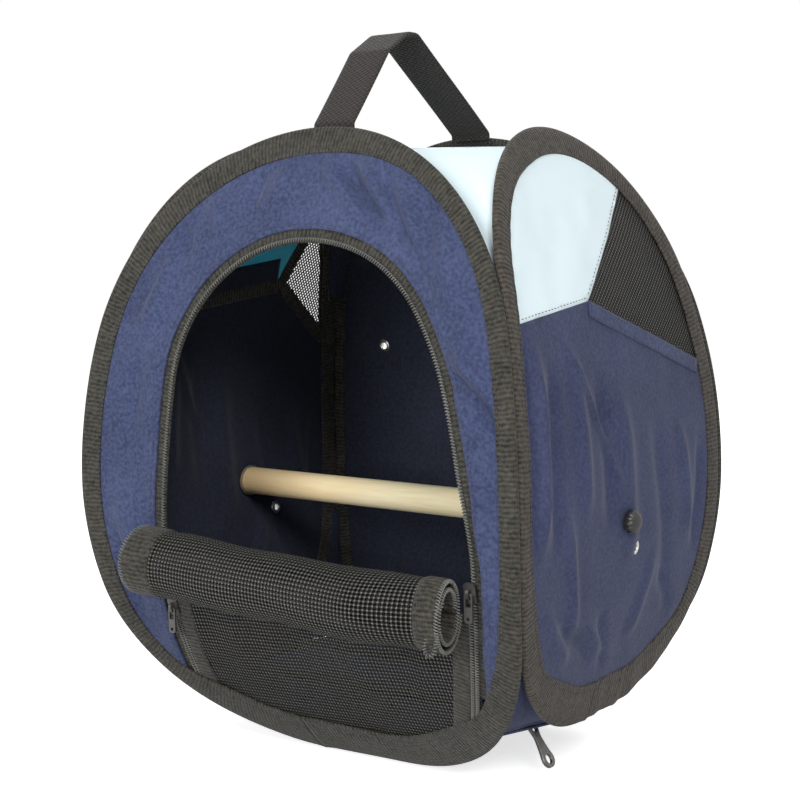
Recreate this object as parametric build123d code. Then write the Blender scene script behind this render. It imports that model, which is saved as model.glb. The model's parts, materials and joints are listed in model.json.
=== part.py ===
from build123d import *
import os
from math import asin, atan2, cos, degrees, hypot, pi, radians, sin, sqrt, tan

# Pop-up travel carrier for a pet bird, in millimetres, +Z up, front towards -Y.
# Four bowed fabric walls, each with a flat spring hoop in a folded binding, stand on the
# front and back wall; a roof, corner gussets and a floor with a zipped flap close the cabin.

# ---- body ----
height = 330.0              # ground to the crown of the front and back wall
widest_height = 146.5       # where all four walls stand furthest out
half_width = 135.0          # middle plane to the outside of a side wall, at its widest
half_depth = 113.0          # middle plane to the outside of the front wall, at its widest
front_top_tuck = 42.5       # how far the front and back wall lean in at the crown
front_bottom_tuck = 66.5    # the same at the ground
side_top_tuck = 47.5        # how far a side wall leans in at the crown's height
side_bottom_tuck = 31.0
rest_flat = 50.0            # straight stretch under the front and back wall
side_top = 328.0
side_bottom = 28.0
side_flat = 30.0

# ---- wall layers, counted inwards from the outside ----
tape_thickness = 1.0        # one layer of binding tape
fabric_thickness = 2.0      # padded wall fabric
layer_gap = 0.05            # between layers that are sewn together
seam_gap = 0.3              # between pieces that only meet
binding_width = 14.0        # visible width of the folded binding
binding_edge = 1.2          # tape round the hoop's outer edge
hoop_width = 6.0
hoop_thickness = 1.2
hoop_gap = 0.2

# ---- door ----
door_top = 273.0            # crown of the zip line
door_apex_x = 3.0
door_left_crown = 74.0      # radius of the zip line's left shoulder
door_left_lean = 5.2        # degrees that the left zip leans out towards the ground
door_right_crown = 98.0
door_right_radius = 235.0   # radius of the right zip line
door_widest_height = 130.0
coil_width = 2.2            # one half of the zip's coil
coil_gap = 0.15
coil_sink = 0.5             # coil below the fabric's outside
fabric_setback = 4.5        # zip line to the fabric's edge
zip_tape_width = 11.0
door_tape_width = 9.0       # tape that edges the door's net
door_fold_height = 100.0    # where the door leaves the opening and turns into its roll
net_thickness = 0.8

# ---- rolled door ----
roll_radius = 18.5
roll_height = 110.0         # height of the roll's middle
roll_left = -92.0
roll_right = 103.0
roll_tilt = 3.5             # degrees, left end up
roll_layer = 1.8
roll_pitch = 3.8            # from one turn to the next
roll_half_turns = 4
roll_tape_width = 16.0
roll_tape_proud = 0.5       # end tapes stand this much outside the roll

# ---- nets ----
net_hole = 9.0
net_pitch = 12.0

# ---- windows in the side walls: each net's lower front corner and its front seam ----
right_corner_y = -19.5
right_corner_z = 241.0
right_seam_slope = 38.0     # degrees of the front seam above level
left_corner_y = 40.0
left_corner_z = 248.0
left_seam_slope = 62.0
window_back_z = 198.0       # height of the net's lower edge at the back binding
shoulder_front_z = 231.0    # height of the pale panel's lower edge at the front binding
hem_width = 8.0
hem_thickness = 0.8
window_tape_width = 8.0

# ---- roof, gussets and floor ----
sheet_thickness = 1.2
roof_inset = 9.0            # from the crown of a hoop down to the roof's seam
roof_start = 236.0
roof_top = 317.0
roof_steps = 5
gusset_inset = 6.0          # from a hoop's edge to the gusset's and the floor's seam
gusset_top = 100.0
gusset_steps = 4
level_power = 1.4           # crowds the levels where the hoops turn over
floor_height = 31.0         # top of the floor
flap_length = 206.0
flap_depth = 60.0
flap_corner = 8.0
flap_gap = 0.3
floor_coil_width = 4.0
floor_coil_height = 2.6

# ---- perch and what holds it ----
perch_diameter = 16.0
perch_height = 130.5
perch_left_y = 20.0         # where its screws pass the side walls
perch_right_y = -3.0
screw_diameter = 4.0
screw_reach = 24.0          # how far a screw enters the dowel
screw_clearance = 0.08
bore_runout = 2.0           # bore past the screw's tip
perch_chamfer = 0.6
wall_hole = 5.0
knob_diameter = 12.0
knob_height = 5.5
knob_rim = 2.6              # height where the dome starts
knob_socket = 3.0           # how far the screw enters the knob
knob_ribs = 12
knob_groove = 0.5
knob_dome = (30, 55, 75)    # degrees up the dome where its flats meet
washer_diameter = 18.0
washer_thickness = 0.8

# ---- eyelets ----
eyelet_outer = 8.0
eyelet_bore = 4.0
eyelet_lip = 0.6
right_eyelet_y = 8.0
right_eyelet_z = 115.0
left_eyelet_y = 44.0
left_eyelet_z = 110.0
back_eyelet_x = -89.0
back_eyelet_z = 207.0

# ---- handle ----
strap_width = 25.0
strap_thickness = 1.8
strap_x = 4.0
handle_rise = 49.0          # crown of the hoops to the middle of the strap's fold
handle_fold_y = -9.0        # the fold stands towards the front
handle_flat = 8.0           # length of the fold's top
handle_shoulder = (-32.0, 38.5)     # bend in the front leg, its height above the crown
handle_fold_radius = 6.0
handle_root = 2.0           # how far the strap reaches below the crown
handle_bend = 0.8           # height above the crown where its legs lean in
handle_patch = 11.0         # sewn end of the strap
patch_thickness = 0.8

# ---- zip sliders ----
slider_length = 10.0
slider_width = 6.4
slider_wall = 1.0
bail_share = 0.5            # length of the bail as a share of its slider
bail_wall = 0.8
bail_play = 0.6             # bail to the sides of the pull's window
bar_radius = 0.6            # half the width of the pull's bar
pull_length = 14.0
pull_width = 4.5
pull_thickness = 1.2
loop_height = 2.8           # top of the bail above its slider
floor_loop_height = 3.4
right_slider_z = 112.0
left_slider_z = 83.0
floor_slider_length = 13.0
floor_slider_width = 9.0
floor_slider_back = 12.0    # flap's end to the slider's middle
floor_pull_length = 24.8
floor_pull_width = 8.0
floor_pull_thickness = 1.8
floor_pull_lean = 30.0      # degrees from plumb, its tip on the ground
reach = 220.0               # longer than any wall, for cutting prisms

wall = 2 * tape_thickness + fabric_thickness
panel_edge = binding_edge + hoop_width + 2 * hoop_gap
roll_offset = roll_radius + seam_gap
parts = {}


def bow_radius(drop, tuck):
    """Radius of an arc that is plumb at the widest height and leans in by tuck over drop."""
    return (drop ** 2 + tuck ** 2) / (2 * tuck)


front_up = bow_radius(height - widest_height, front_top_tuck)
front_down = bow_radius(widest_height, front_bottom_tuck)
side_up = bow_radius(height - widest_height, side_top_tuck)
side_down = bow_radius(widest_height, side_bottom_tuck)


def bowed(z, half, up, down):
    """Distance from the middle plane to the outside of a bowed wall at height z."""
    drop = z - widest_height
    radius = up if drop > 0 else down
    return half - radius + sqrt(radius ** 2 - drop ** 2)


def front_at(z, depth=0.0):
    """Front or back wall's distance from the middle at height z, depth below its outside."""
    return bowed(z, half_depth - depth, front_up - depth, front_down - depth)


def side_at(z, depth=0.0):
    return bowed(z, half_width - depth, side_up - depth, side_down - depth)


def polar(centre, radius, angle):
    return (centre[0] + radius * cos(angle), centre[1] + radius * sin(angle))


def arc(centre, radius, start, end):
    """Arc through its middle, angles in radians."""
    middle = (start + end) / 2
    return ThreePointArc(*(polar(centre, radius, angle) for angle in (start, middle, end)))


class Hoop:
    """Outline of a wall: crown, two bowed sides and a rounded bottom with a short flat."""

    def __init__(self, half, up, down, top, bottom, flat):
        self.top, self.bottom, self.flat = top, bottom, flat / 2
        self.half, self.up, self.down = half, up, down
        rise = top - widest_height
        fall = widest_height - bottom
        inner = half - self.flat
        self.crown = (half ** 2 + rise ** 2 - 2 * half * up) / (2 * (rise - up))
        self.base = (inner ** 2 + fall ** 2 - 2 * inner * down) / (2 * (fall - down))
        self.crown_centre = (0, top - self.crown)
        self.base_centre = (self.flat, bottom + self.base)
        self.up_centre = (half - up, widest_height)
        self.down_centre = (half - down, widest_height)
        self.crown_join = atan2(self.crown_centre[1] - widest_height, up - half)
        self.base_join = atan2(self.base_centre[1] - widest_height, self.flat + down - half)

    def face(self, inset=0.0):
        """Closed outline, drawn inset from the hoop's edge."""
        base = arc(self.base_centre, self.base - inset, -pi / 2, self.base_join)
        lower = arc(self.down_centre, self.down - inset, self.base_join, 0)
        upper = arc(self.up_centre, self.up - inset, 0, self.crown_join)
        crown = arc(self.crown_centre, self.crown - inset, self.crown_join, pi - self.crown_join)
        left = [mirror(edge, about=Plane.YZ) for edge in (upper, lower, base)]
        flat = Line((-self.flat, self.bottom + inset), (self.flat, self.bottom + inset))
        return make_face([base, lower, upper, crown, *left, flat])

    def half_at(self, z, inset=0.0):
        """Half the hoop's width at height z, inset from its edge."""
        crown_z = self.crown_centre[1] + (self.crown - inset) * sin(self.crown_join)
        base_z = self.base_centre[1] + (self.base - inset) * sin(self.base_join)
        if z > crown_z:
            centre, radius = self.crown_centre, self.crown
        elif z > widest_height:
            centre, radius = self.up_centre, self.up
        elif z > base_z:
            centre, radius = self.down_centre, self.down
        else:
            centre, radius = self.base_centre, self.base
        across = (radius - inset) ** 2 - (z - centre[1]) ** 2
        return centre[0] + sqrt(max(across, 0))


front_hoop = Hoop(half_width, side_up, side_down, height, 0, rest_flat)
side_inset = wall + seam_gap
side_hoop = Hoop(half_depth - side_inset, front_up - side_inset, front_down - side_inset,
                 side_top, side_bottom, side_flat)


def bow_strip(half, up, down, outer, inner):
    """Upright strip of a bowed wall between two depths, as a face in (outwards, up)."""
    low, high = -8.0, height + 8.0

    def line(depth):
        middle = (half - depth, widest_height)
        top = (bowed(high, half - depth, up - depth, down), high)
        bottom = (bowed(low, half - depth, up, down - depth), low)
        return (TangentArc(middle, top, tangent=(0, 1)), TangentArc(middle, bottom, tangent=(0, -1)),
                top, bottom)

    outer_up, outer_down, outer_top, outer_bottom = line(outer)
    inner_up, inner_down, inner_top, inner_bottom = line(inner)
    return make_face([outer_up, outer_down, inner_up, inner_down,
                      Line(outer_top, inner_top), Line(outer_bottom, inner_bottom)])


def back_layer(outer, inner):
    """Layer of the back wall between two depths, wider than the wall."""
    strip = bow_strip(half_depth, front_up, front_down, outer, inner)
    return extrude(Plane.YZ * strip, amount=reach, both=True)


def right_layer(outer, inner):
    strip = bow_strip(half_width, side_up, side_down, outer, inner)
    return extrude(Plane.XZ * strip, amount=reach, both=True)


def to_front(shape):
    return mirror(shape, about=Plane.XZ)


def to_left(shape):
    return mirror(shape, about=Plane.YZ)


def across_front(face):
    """Prism along Y of a face drawn in (x, z)."""
    return extrude(Plane.XZ * face, amount=reach, both=True)


def across_side(face):
    """Prism along X of a face drawn in (y, z)."""
    return extrude(Plane.YZ * face, amount=reach, both=True)


def binding(layer, prism, hoop):
    """Tape folded over a wall's edge, with a channel for the hoop and the fabric."""
    ring = layer(0, wall) & prism(hoop.face() - hoop.face(binding_width))
    channel = layer(tape_thickness, tape_thickness + fabric_thickness) & prism(hoop.face(binding_edge))
    return ring - channel


def spring_hoop(layer, prism, hoop):
    depth = (wall - hoop_thickness) / 2
    edge = binding_edge + hoop_gap
    return layer(depth, wall - depth) & prism(hoop.face(edge) - hoop.face(edge + hoop_width))


def fabric_panel(layer, prism, hoop):
    outer = tape_thickness + layer_gap
    inner = tape_thickness + fabric_thickness - layer_gap
    return layer(outer, inner) & prism(hoop.face(panel_edge))


def net(outline, spacing, hole, limits):
    """Net drawn as one face with square holes, wherever a whole hole fits the outline."""
    low_x, low_y, high_x, high_y = limits
    margin = offset(outline, -hole * 0.4)
    holes = []
    columns = int((high_x - low_x) / spacing)
    rows = int((high_y - low_y) / spacing)
    for column in range(columns):
        for row in range(rows):
            x = low_x + (column + 0.5) * spacing
            y = low_y + (row + 0.5) * spacing
            corners = [(x + dx * hole / 2, y + dy * hole / 2) for dx in (-1, 1) for dy in (-1, 1)]
            if all(margin.is_inside(Vector(cx, cy, 0)) for cx, cy in corners):
                holes.append(Pos(x, y) * Rectangle(hole, hole))
    return outline - holes


def polygon(*points):
    return make_face(Polyline(*points, close=True))


def side_frame(sign, y, z, out=0.0):
    """Plane on the outside of a side wall, its normal outwards."""
    radius = side_up if z > widest_height else side_down
    tilt = asin((z - widest_height) / radius)
    normal = Vector(sign * cos(tilt), 0, sin(tilt))
    return Plane(Vector(sign * side_at(z), y, z) + normal * out, x_dir=(0, sign, 0), z_dir=normal)


def front_frame(sign, x, z, out=0.0):
    """Plane on the outside of the front (-1) or back (+1) wall, its normal outwards."""
    radius = front_up if z > widest_height else front_down
    tilt = asin((z - widest_height) / radius)
    normal = Vector(0, sign * cos(tilt), sin(tilt))
    return Plane(Vector(x, sign * front_at(z), z) + normal * out, x_dir=(-sign, 0, 0), z_dir=normal)


# ---- door outline ----
left_centre = (door_apex_x, door_top - door_left_crown)
right_centre = (door_apex_x, door_top - door_right_crown)
right_join = asin((right_centre[1] - door_widest_height) / (door_right_radius - door_right_crown))
side_centre = polar(right_centre, door_right_crown - door_right_radius, right_join)
left_join = pi - radians(door_left_lean)


def left_zip_x(z, out=0.0):
    """Zip line's left side at height z, moved outwards."""
    start = polar(left_centre, door_left_crown + out, left_join)
    return start[0] - (start[1] - z) * tan(radians(door_left_lean))


def right_zip_x(z, out=0.0):
    radius = door_right_radius + out
    return side_centre[0] + sqrt(radius ** 2 - (z - side_centre[1]) ** 2)


def door_face(out=0.0, low=-8.0):
    """Arch of the zip line, moved outwards, open to below the ground."""
    end = asin((low - side_centre[1]) / (door_right_radius + out))
    crown_left = arc(left_centre, door_left_crown + out, pi / 2, left_join)
    crown_right = arc(right_centre, door_right_crown + out, pi / 2, right_join)
    right = arc(side_centre, door_right_radius + out, right_join, end)
    left_top = polar(left_centre, door_left_crown + out, left_join)
    left_low = (left_zip_x(low, out), low)
    right_low = polar(side_centre, door_right_radius + out, end)
    return make_face([crown_left, crown_right, right, Line(left_top, left_low), Line(left_low, right_low)])


def below(z):
    return polygon((-reach, -20), (reach, -20), (reach, z), (-reach, z))


# ---- front and back wall ----
parts["back_binding"] = binding(back_layer, across_front, front_hoop)
parts["front_binding"] = to_front(parts["back_binding"])
parts["back_hoop"] = spring_hoop(back_layer, across_front, front_hoop)
parts["front_hoop"] = to_front(parts["back_hoop"])
front_blank = fabric_panel(back_layer, across_front, front_hoop)
back_bore = front_frame(1, back_eyelet_x, back_eyelet_z) * Pos(0, 0, -wall)
eyelet_hole = eyelet_bore / 2 + eyelet_lip
parts["back_panel"] = front_blank - back_bore * Cylinder(eyelet_hole, 4 * wall)
parts["front_panel"] = to_front(front_blank) - across_front(door_face(fabric_setback))

# ---- side walls ----
right_binding = binding(right_layer, across_side, side_hoop)
right_hoop = spring_hoop(right_layer, across_side, side_hoop)
parts["right_binding"] = right_binding
parts["left_binding"] = to_left(right_binding)
parts["right_hoop"] = right_hoop
parts["left_hoop"] = to_left(right_hoop)


def side_wall(name, sign, corner_y, corner_z, slope, eyelet_y, eyelet_z, perch_y):
    """Fabric, window net, hem and tapes of one side wall."""
    def seat(shape):
        return shape if sign > 0 else to_left(shape)

    run = height - corner_z + hem_width
    seam_top = (corner_y + run / tan(radians(slope)), corner_z + run)
    back_y = front_at(window_back_z)
    drop = (corner_z - window_back_z) / (back_y - corner_y)
    corner = (corner_y, corner_z)
    far_back = (half_depth + hem_width, corner_z - drop * (half_depth + hem_width - corner_y))
    far_front = (-half_depth, shoulder_front_z)
    top = height + hem_width
    upper = polygon(corner, far_front, (-half_depth, top), seam_top)
    window = polygon(corner, seam_top, (far_back[0], top), far_back)

    blank = fabric_panel(right_layer, across_side, side_hoop)
    lower = seat(blank - across_side(upper) - across_side(window))
    bore = side_frame(sign, perch_y, perch_height, -wall / 2) * Cylinder(wall_hole / 2, 4 * wall)
    eyelet_bore_cut = side_frame(sign, eyelet_y, eyelet_z, -wall / 2) * Cylinder(eyelet_hole, 4 * wall)
    parts[f"{name}_lower_panel"] = lower - bore - eyelet_bore_cut
    parts[f"{name}_upper_panel"] = seat(blank & across_side(upper))

    edge = side_hoop.face(panel_edge)
    limits = (corner_y, window_back_z, half_depth, side_top)
    window_face = net((edge & window).face(), net_pitch, net_hole, limits)
    net_depth = tape_thickness + (fabric_thickness - net_thickness) / 2
    parts[f"{name}_window_net"] = seat(right_layer(net_depth, net_depth + net_thickness)
                                       & across_side(window_face))

    inside = side_hoop.face(binding_width + layer_gap)
    hem_low = (corner_y, corner_z - hem_width)
    hem = polygon(corner, hem_low, (far_back[0], far_back[1] - hem_width), far_back) & inside
    hem_depth = tape_thickness - hem_thickness
    parts[f"{name}_window_hem"] = seat(right_layer(hem_depth, tape_thickness) & across_side(hem))

    path = [Polyline(far_front, corner, seam_top), Polyline(corner, far_back)]
    bands = [trace(line, line_width=window_tape_width) for line in path]
    tape = ((bands[0] + bands[1]) & inside)
    tape_depth = wall - tape_thickness
    parts[f"{name}_seam_tape"] = seat(right_layer(tape_depth, tape_depth + hem_thickness)
                                      & across_side(tape))


side_wall("right", 1, right_corner_y, right_corner_z, right_seam_slope, right_eyelet_y, right_eyelet_z,
          perch_right_y)
side_wall("left", -1, left_corner_y, left_corner_z, left_seam_slope, left_eyelet_y, left_eyelet_z,
          perch_left_y)


# ---- roof, corner gussets and floor ----
def corner_points(z, inset):
    """Right rear corner of the cabin at height z, cut off by a line between the two hoops."""
    across = front_hoop.half_at(z, inset)
    along = side_hoop.half_at(z, inset)
    return [(side_at(z, side_inset), along), (across, front_at(z, side_inset))]


def ring_of(points):
    """Eight-sided outline from one corner's two points."""
    right_back = points
    left_back = [(-x, y) for x, y in reversed(points)]
    left_front = [(-x, -y) for x, y in points]
    right_front = [(x, -y) for x, y in reversed(points)]
    return [*right_back, *left_back, *left_front, *right_front]


def cut_inwards(points, thickness):
    """The same corner line, moved inwards by the sheet's thickness and run on into both walls."""
    (x0, y0), (x1, y1) = points
    length = hypot(x1 - x0, y1 - y0)
    slope = (y1 - y0) / (x1 - x0)
    start_x = x0 - (y1 - y0) / length * thickness
    start_y = y0 + (x1 - x0) / length * thickness
    side_x, front_y = x0 + seam_gap, y1 + seam_gap
    return [(side_x, start_y + (side_x - start_x) * slope), (start_x + (front_y - start_y) / slope, front_y)]


def section(points, z):
    return Face(Wire(Polyline(*((x, y, z) for x, y in ring_of(points)), close=True).edges()))


def lofted(levels, inset, thickness=0.0):
    faces = []
    for z in levels:
        points = corner_points(z, inset)
        faces.append(section(cut_inwards(points, thickness) if thickness else points, z))
    return loft(faces, ruled=True)


def spread(start, end, steps):
    """Heights from start to end, closer together towards the end."""
    return [end - (end - start) * (1 - step / steps) ** level_power for step in range(steps + 1)]


roof_levels = spread(roof_start, roof_top, roof_steps)
roof_inner_levels = [roof_start - sheet_thickness, *roof_levels[1:-1], roof_top - sheet_thickness]
parts["roof"] = lofted(roof_levels, roof_inset) - lofted(roof_inner_levels, roof_inset, sheet_thickness)

gusset_low = floor_height + seam_gap
gusset_levels = spread(gusset_top, gusset_low, gusset_steps)
gusset_levels.reverse()
gusset_inner = [gusset_low - 1, *gusset_levels[1:-1], gusset_top + 1]
parts["corner_gussets"] = (lofted(gusset_levels, gusset_inset)
                           - lofted(gusset_inner, gusset_inset, sheet_thickness))

floor_low = floor_height - sheet_thickness
flap_opening = RectangleRounded(flap_length, flap_depth, flap_corner)
rim = extrude(section(corner_points(floor_low, gusset_inset), floor_low), amount=sheet_thickness)
parts["floor_rim"] = rim - Pos(0, 0, floor_low) * extrude(flap_opening, amount=sheet_thickness)
flap_face = RectangleRounded(flap_length - 2 * floor_coil_width, flap_depth - 2 * floor_coil_width,
                             flap_corner - floor_coil_width)
hinge_strip = Pos(0, (flap_depth - floor_coil_width) / 2 - flap_gap) * Rectangle(
    flap_length - 4 * floor_coil_width, floor_coil_width + 2 * flap_gap)
parts["floor_flap"] = Pos(0, 0, floor_low) * extrude(flap_face + hinge_strip, amount=sheet_thickness)
coil_outer = RectangleRounded(flap_length - 2 * flap_gap, flap_depth - 2 * flap_gap, flap_corner - flap_gap)
coil_inner = offset(flap_face, layer_gap)
hinge_side = Pos(0, flap_depth / 2) * Rectangle(2 * flap_length, 2 * (floor_coil_width + flap_gap))
coil_low = floor_height - (sheet_thickness + floor_coil_height) / 2
parts["floor_zip_coil"] = Pos(0, 0, coil_low) * extrude(coil_outer - coil_inner - hinge_side,
                                                        amount=floor_coil_height)


# ---- door zip, door net and rolled door ----
def front_piece(outer, inner, face, hoop_inset):
    """Piece of the front wall between two depths, kept inside the hoop by the inset."""
    trimmed = face & front_hoop.face(hoop_inset)
    return to_front(back_layer(outer, inner)) & across_front(trimmed)


fabric_inner = tape_thickness + fabric_thickness
coil_depth = (tape_thickness + coil_sink, fabric_inner - layer_gap)
parts["door_zip_tape"] = front_piece(fabric_inner + layer_gap, wall,
                                     door_face(zip_tape_width) - door_face(coil_gap),
                                     binding_width + layer_gap)
parts["door_zip_coil"] = front_piece(*coil_depth, door_face(coil_gap + coil_width) - door_face(coil_gap),
                                     panel_edge)
lower_door = below(door_fold_height)
inner_coil = (door_face(-coil_gap) - door_face(-coil_gap - coil_width)) & lower_door
parts["lower_zip_coil"] = front_piece(*coil_depth, inner_coil, panel_edge)
tape_out = coil_gap + coil_width + layer_gap
door_tape = (door_face(-tape_out) - door_face(-tape_out - door_tape_width)) & lower_door
parts["door_side_tape"] = front_piece(coil_depth[0], coil_depth[0] + tape_thickness, door_tape, panel_edge)
net_edge = tape_out + door_tape_width + layer_gap
net_outline = (door_face(-net_edge) & lower_door & front_hoop.face(panel_edge)).face()
net_limits = (left_zip_x(0), panel_edge, right_zip_x(door_fold_height), door_fold_height)
lower_net = net(net_outline, net_pitch, net_hole, net_limits)
parts["lower_door_net"] = (to_front(back_layer(coil_depth[0], coil_depth[0] + net_thickness))
                           & across_front(lower_net))


def spiral(radius, layer):
    """Section of a loose roll: half circles, each half a pitch smaller than the last."""
    outer_edges, inner_edges = [], []
    end = radius
    side = 1
    for turn in range(roll_half_turns):
        size = radius - turn * roll_pitch / 2
        centre = (end - side * size, 0)
        start_angle = 0 if side > 0 else pi
        outer_edges.append(arc(centre, size, start_angle, start_angle - pi))
        inner_edges.append(arc(centre, size - layer, start_angle, start_angle - pi))
        end = centre[0] - side * size
        side = -side
    caps = [Line(outer_edges[0] @ 0, inner_edges[0] @ 0), Line(outer_edges[-1] @ 1, inner_edges[-1] @ 1)]
    return make_face([*outer_edges, *inner_edges, *caps])


roll_gap = roll_pitch - roll_layer
print(f"rolled door: least gap between turns {roll_gap:.2f} mm")
roll_y = -front_at(roll_height) - roll_offset
roll_middle = (roll_left + roll_right) / 2
roll_place = Pos(roll_middle, roll_y, roll_height) * Rot(0, roll_tilt, 0)


def roll_piece(radius, layer, low_x, high_x):
    section_face = Plane.YZ * spiral(radius, layer)
    return roll_place * (Pos(low_x - roll_middle, 0, 0) * extrude(section_face, amount=high_x - low_x))


parts["door_roll"] = roll_piece(roll_radius - roll_tape_proud, roll_layer - 2 * roll_tape_proud,
                                roll_left + roll_tape_width + layer_gap,
                                roll_right - roll_tape_width - layer_gap)
roll_ends = [roll_piece(roll_radius, roll_layer, roll_left, roll_left + roll_tape_width),
             roll_piece(roll_radius, roll_layer, roll_right - roll_tape_width, roll_right)]
parts["door_roll_tape"] = Compound(children=roll_ends)


# ---- zip sliders and their pulls ----
def bail(length, rise):
    """Small arch on a slider, its bore across the zip."""
    outer = RectangleRounded(length, 2 * rise, rise * 0.6)
    bore = RectangleRounded(length - 2 * bail_wall, 2 * (rise - bail_wall), rise * 0.3)
    arch = (outer - bore) & (Pos(0, rise) * Rectangle(2 * length, 2 * rise))
    return extrude(Plane.YZ * arch, amount=bail_wall, both=True)


def slider(length, width, rise):
    """Slider's top plate and bail: zip along local Y, underside at zero, outwards along Z."""
    plate = Pos(0, 0, slider_wall / 2) * Box(width, length, slider_wall)
    plate = fillet(plate.edges().filter_by(Axis.Z), width * 0.3)
    return plate + Pos(0, 0, slider_wall) * bail(length * bail_share, rise)


def pull(length, width, thickness, rise, slider_size):
    """Pull tab hanging along -Y from a bar on the local X axis, flat in XY."""
    bail_reach = slider_size * bail_share / 2
    tip = Pos(0, bar_radius - length / 2) * RectangleRounded(width, length, width * 0.35)
    window_length = bail_reach + rise
    window_width = 2 * (bail_wall + bail_play)
    window = Pos(0, -bar_radius - window_length / 2) * Rectangle(window_width, window_length)
    hole = Pos(0, width * 0.6 - length) * Circle(width * 0.2)
    return extrude(tip - window - hole, amount=thickness / 2, both=True)


def bar_height(rise):
    """Bar of a pull above its slider's underside, midway in the bail's bore."""
    return slider_wall + (rise - bail_wall) / 2


coil_top = -coil_depth[0]
door_seat = coil_top + seam_gap
right_slider_frame = front_frame(-1, right_zip_x(right_slider_z), right_slider_z, door_seat)
left_slider_frame = front_frame(-1, left_zip_x(left_slider_z), left_slider_z, door_seat)
for name, frame in (("right", right_slider_frame), ("left", left_slider_frame)):
    parts[f"{name}_slider"] = frame * slider(slider_length, slider_width, loop_height)
    pivot = (frame * Pos(0, 0, bar_height(loop_height))).position
    hanging = Plane(pivot, x_dir=(1, 0, 0), z_dir=(0, -1, 0))
    parts[f"{name}_pull"] = hanging * pull(pull_length, pull_width, pull_thickness,
                                           loop_height, slider_length)
    print(f"{name} slider at {tuple(frame.origin)}, up along {tuple(frame.y_dir)}")
    print(f"{name} pull turns at {tuple(pivot)}")

floor_slider_y = -(flap_depth - floor_coil_width) / 2 + flap_gap
floor_slider_x = flap_length / 2 - floor_slider_back
floor_frame = Plane((floor_slider_x, floor_slider_y, coil_low - seam_gap), x_dir=(0, 1, 0), z_dir=(0, 0, -1))
parts["floor_slider"] = floor_frame * slider(floor_slider_length, floor_slider_width, floor_loop_height)
floor_pivot = (floor_frame * Pos(0, 0, bar_height(floor_loop_height))).position
lean = radians(floor_pull_lean)
leaning = Plane(floor_pivot, x_dir=(0, 1, 0), z_dir=(cos(lean), 0, sin(lean)))
parts["floor_pull"] = leaning * pull(floor_pull_length, floor_pull_width, floor_pull_thickness,
                                     floor_loop_height, floor_slider_length)
print(f"floor pull turns at {tuple(floor_pivot)}")


# ---- handle ----
root_y = front_at(height, wall + layer_gap + patch_thickness + seam_gap) - strap_thickness / 2
fold_z = height + handle_rise
strap_root = height - handle_root
strap_bend = height + handle_bend
half_flat = handle_flat / 2
shoulder_y, shoulder_rise = handle_shoulder
strap_line = FilletPolyline((-root_y, strap_root), (-root_y, strap_bend),
                            (shoulder_y, height + shoulder_rise),
                            (handle_fold_y - half_flat, fold_z), (handle_fold_y + half_flat, fold_z),
                            (root_y, strap_bend), (root_y, strap_root),
                            radius=[handle_root, handle_fold_radius, handle_fold_radius,
                                    handle_fold_radius, handle_root])
strap_section = Plane.YZ * trace(strap_line, line_width=strap_thickness)
parts["handle_strap"] = Pos(strap_x, 0, 0) * extrude(strap_section, amount=strap_width / 2, both=True)
patch_face = Pos(strap_x, height - handle_patch / 2) * Rectangle(strap_width, handle_patch)
back_patch = back_layer(wall + layer_gap, wall + layer_gap + patch_thickness) & across_front(patch_face)
parts["handle_ends"] = Compound(children=[back_patch, to_front(back_patch)])
print(f"strap length {strap_line.length:.0f} mm")


# ---- perch, its screws, washers and knobs ----
perch_turn = atan2(perch_left_y - perch_right_y, 2 * side_at(perch_height))
perch_place = Pos(0, (perch_left_y + perch_right_y) / 2, perch_height) * Rot(0, 0, -degrees(perch_turn))
outer_face = side_at(perch_height) / cos(perch_turn)
inner_face = (side_at(perch_height) - wall) / cos(perch_turn)
washer_face = inner_face - washer_diameter / 2 * tan(perch_turn) - seam_gap
perch_end = washer_face - washer_thickness - layer_gap
knob_seat = outer_face + knob_diameter / 2 * tan(perch_turn) + seam_gap
screw_end = perch_end - screw_reach
screw_bore = screw_diameter / 2 + screw_clearance
along_x = Rot(0, 90, 0)

dowel = along_x * Cylinder(perch_diameter / 2, 2 * perch_end)
dowel = chamfer(dowel.edges().filter_by(GeomType.CIRCLE), perch_chamfer)
bore_length = screw_reach + bore_runout


def knob():
    """Domed cap with ribs round its rim, its socket open at the seat."""
    radius = knob_diameter / 2
    rise = (knob_height - knob_rim) / sin(radians(knob_dome[-1]))

    def ribbed(share, z):
        radii = (radius * share, (radius - knob_groove) * share)
        points = [polar((0, 0), radii[step % 2], pi / knob_ribs * step) for step in range(2 * knob_ribs)]
        return Pos(0, 0, z) * polygon(*points)

    dome = [ribbed(cos(radians(angle)), knob_rim + rise * sin(radians(angle))) for angle in knob_dome]
    body = loft([ribbed(1, 0), ribbed(1, knob_rim), *dome], ruled=True)
    socket = Pos(0, 0, knob_socket / 2) * Cylinder(screw_diameter / 2 + layer_gap, knob_socket)
    return body - socket


cap = knob()
for name, sign in (("right", 1), ("left", -1)):
    dowel -= Pos(sign * (perch_end - bore_length / 2), 0, 0) * along_x * Cylinder(screw_bore, bore_length)
    screw_tip = knob_seat + knob_socket - layer_gap
    shank = Cylinder(screw_diameter / 2, screw_tip - screw_end)
    parts[f"perch_screw_{name}"] = (perch_place * Pos(sign * (screw_tip + screw_end) / 2, 0, 0)
                                    * along_x * shank)
    washer = Cylinder(washer_diameter / 2, washer_thickness) - Cylinder(wall_hole / 2, wall)
    parts[f"perch_washer_{name}"] = (perch_place * Pos(sign * (washer_face - washer_thickness / 2), 0, 0)
                                     * along_x * washer)
    parts[f"perch_knob_{name}"] = perch_place * Pos(sign * knob_seat, 0, 0) * Rot(0, sign * 90, 0) * cap
parts["perch_dowel"] = perch_place * dowel


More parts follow.
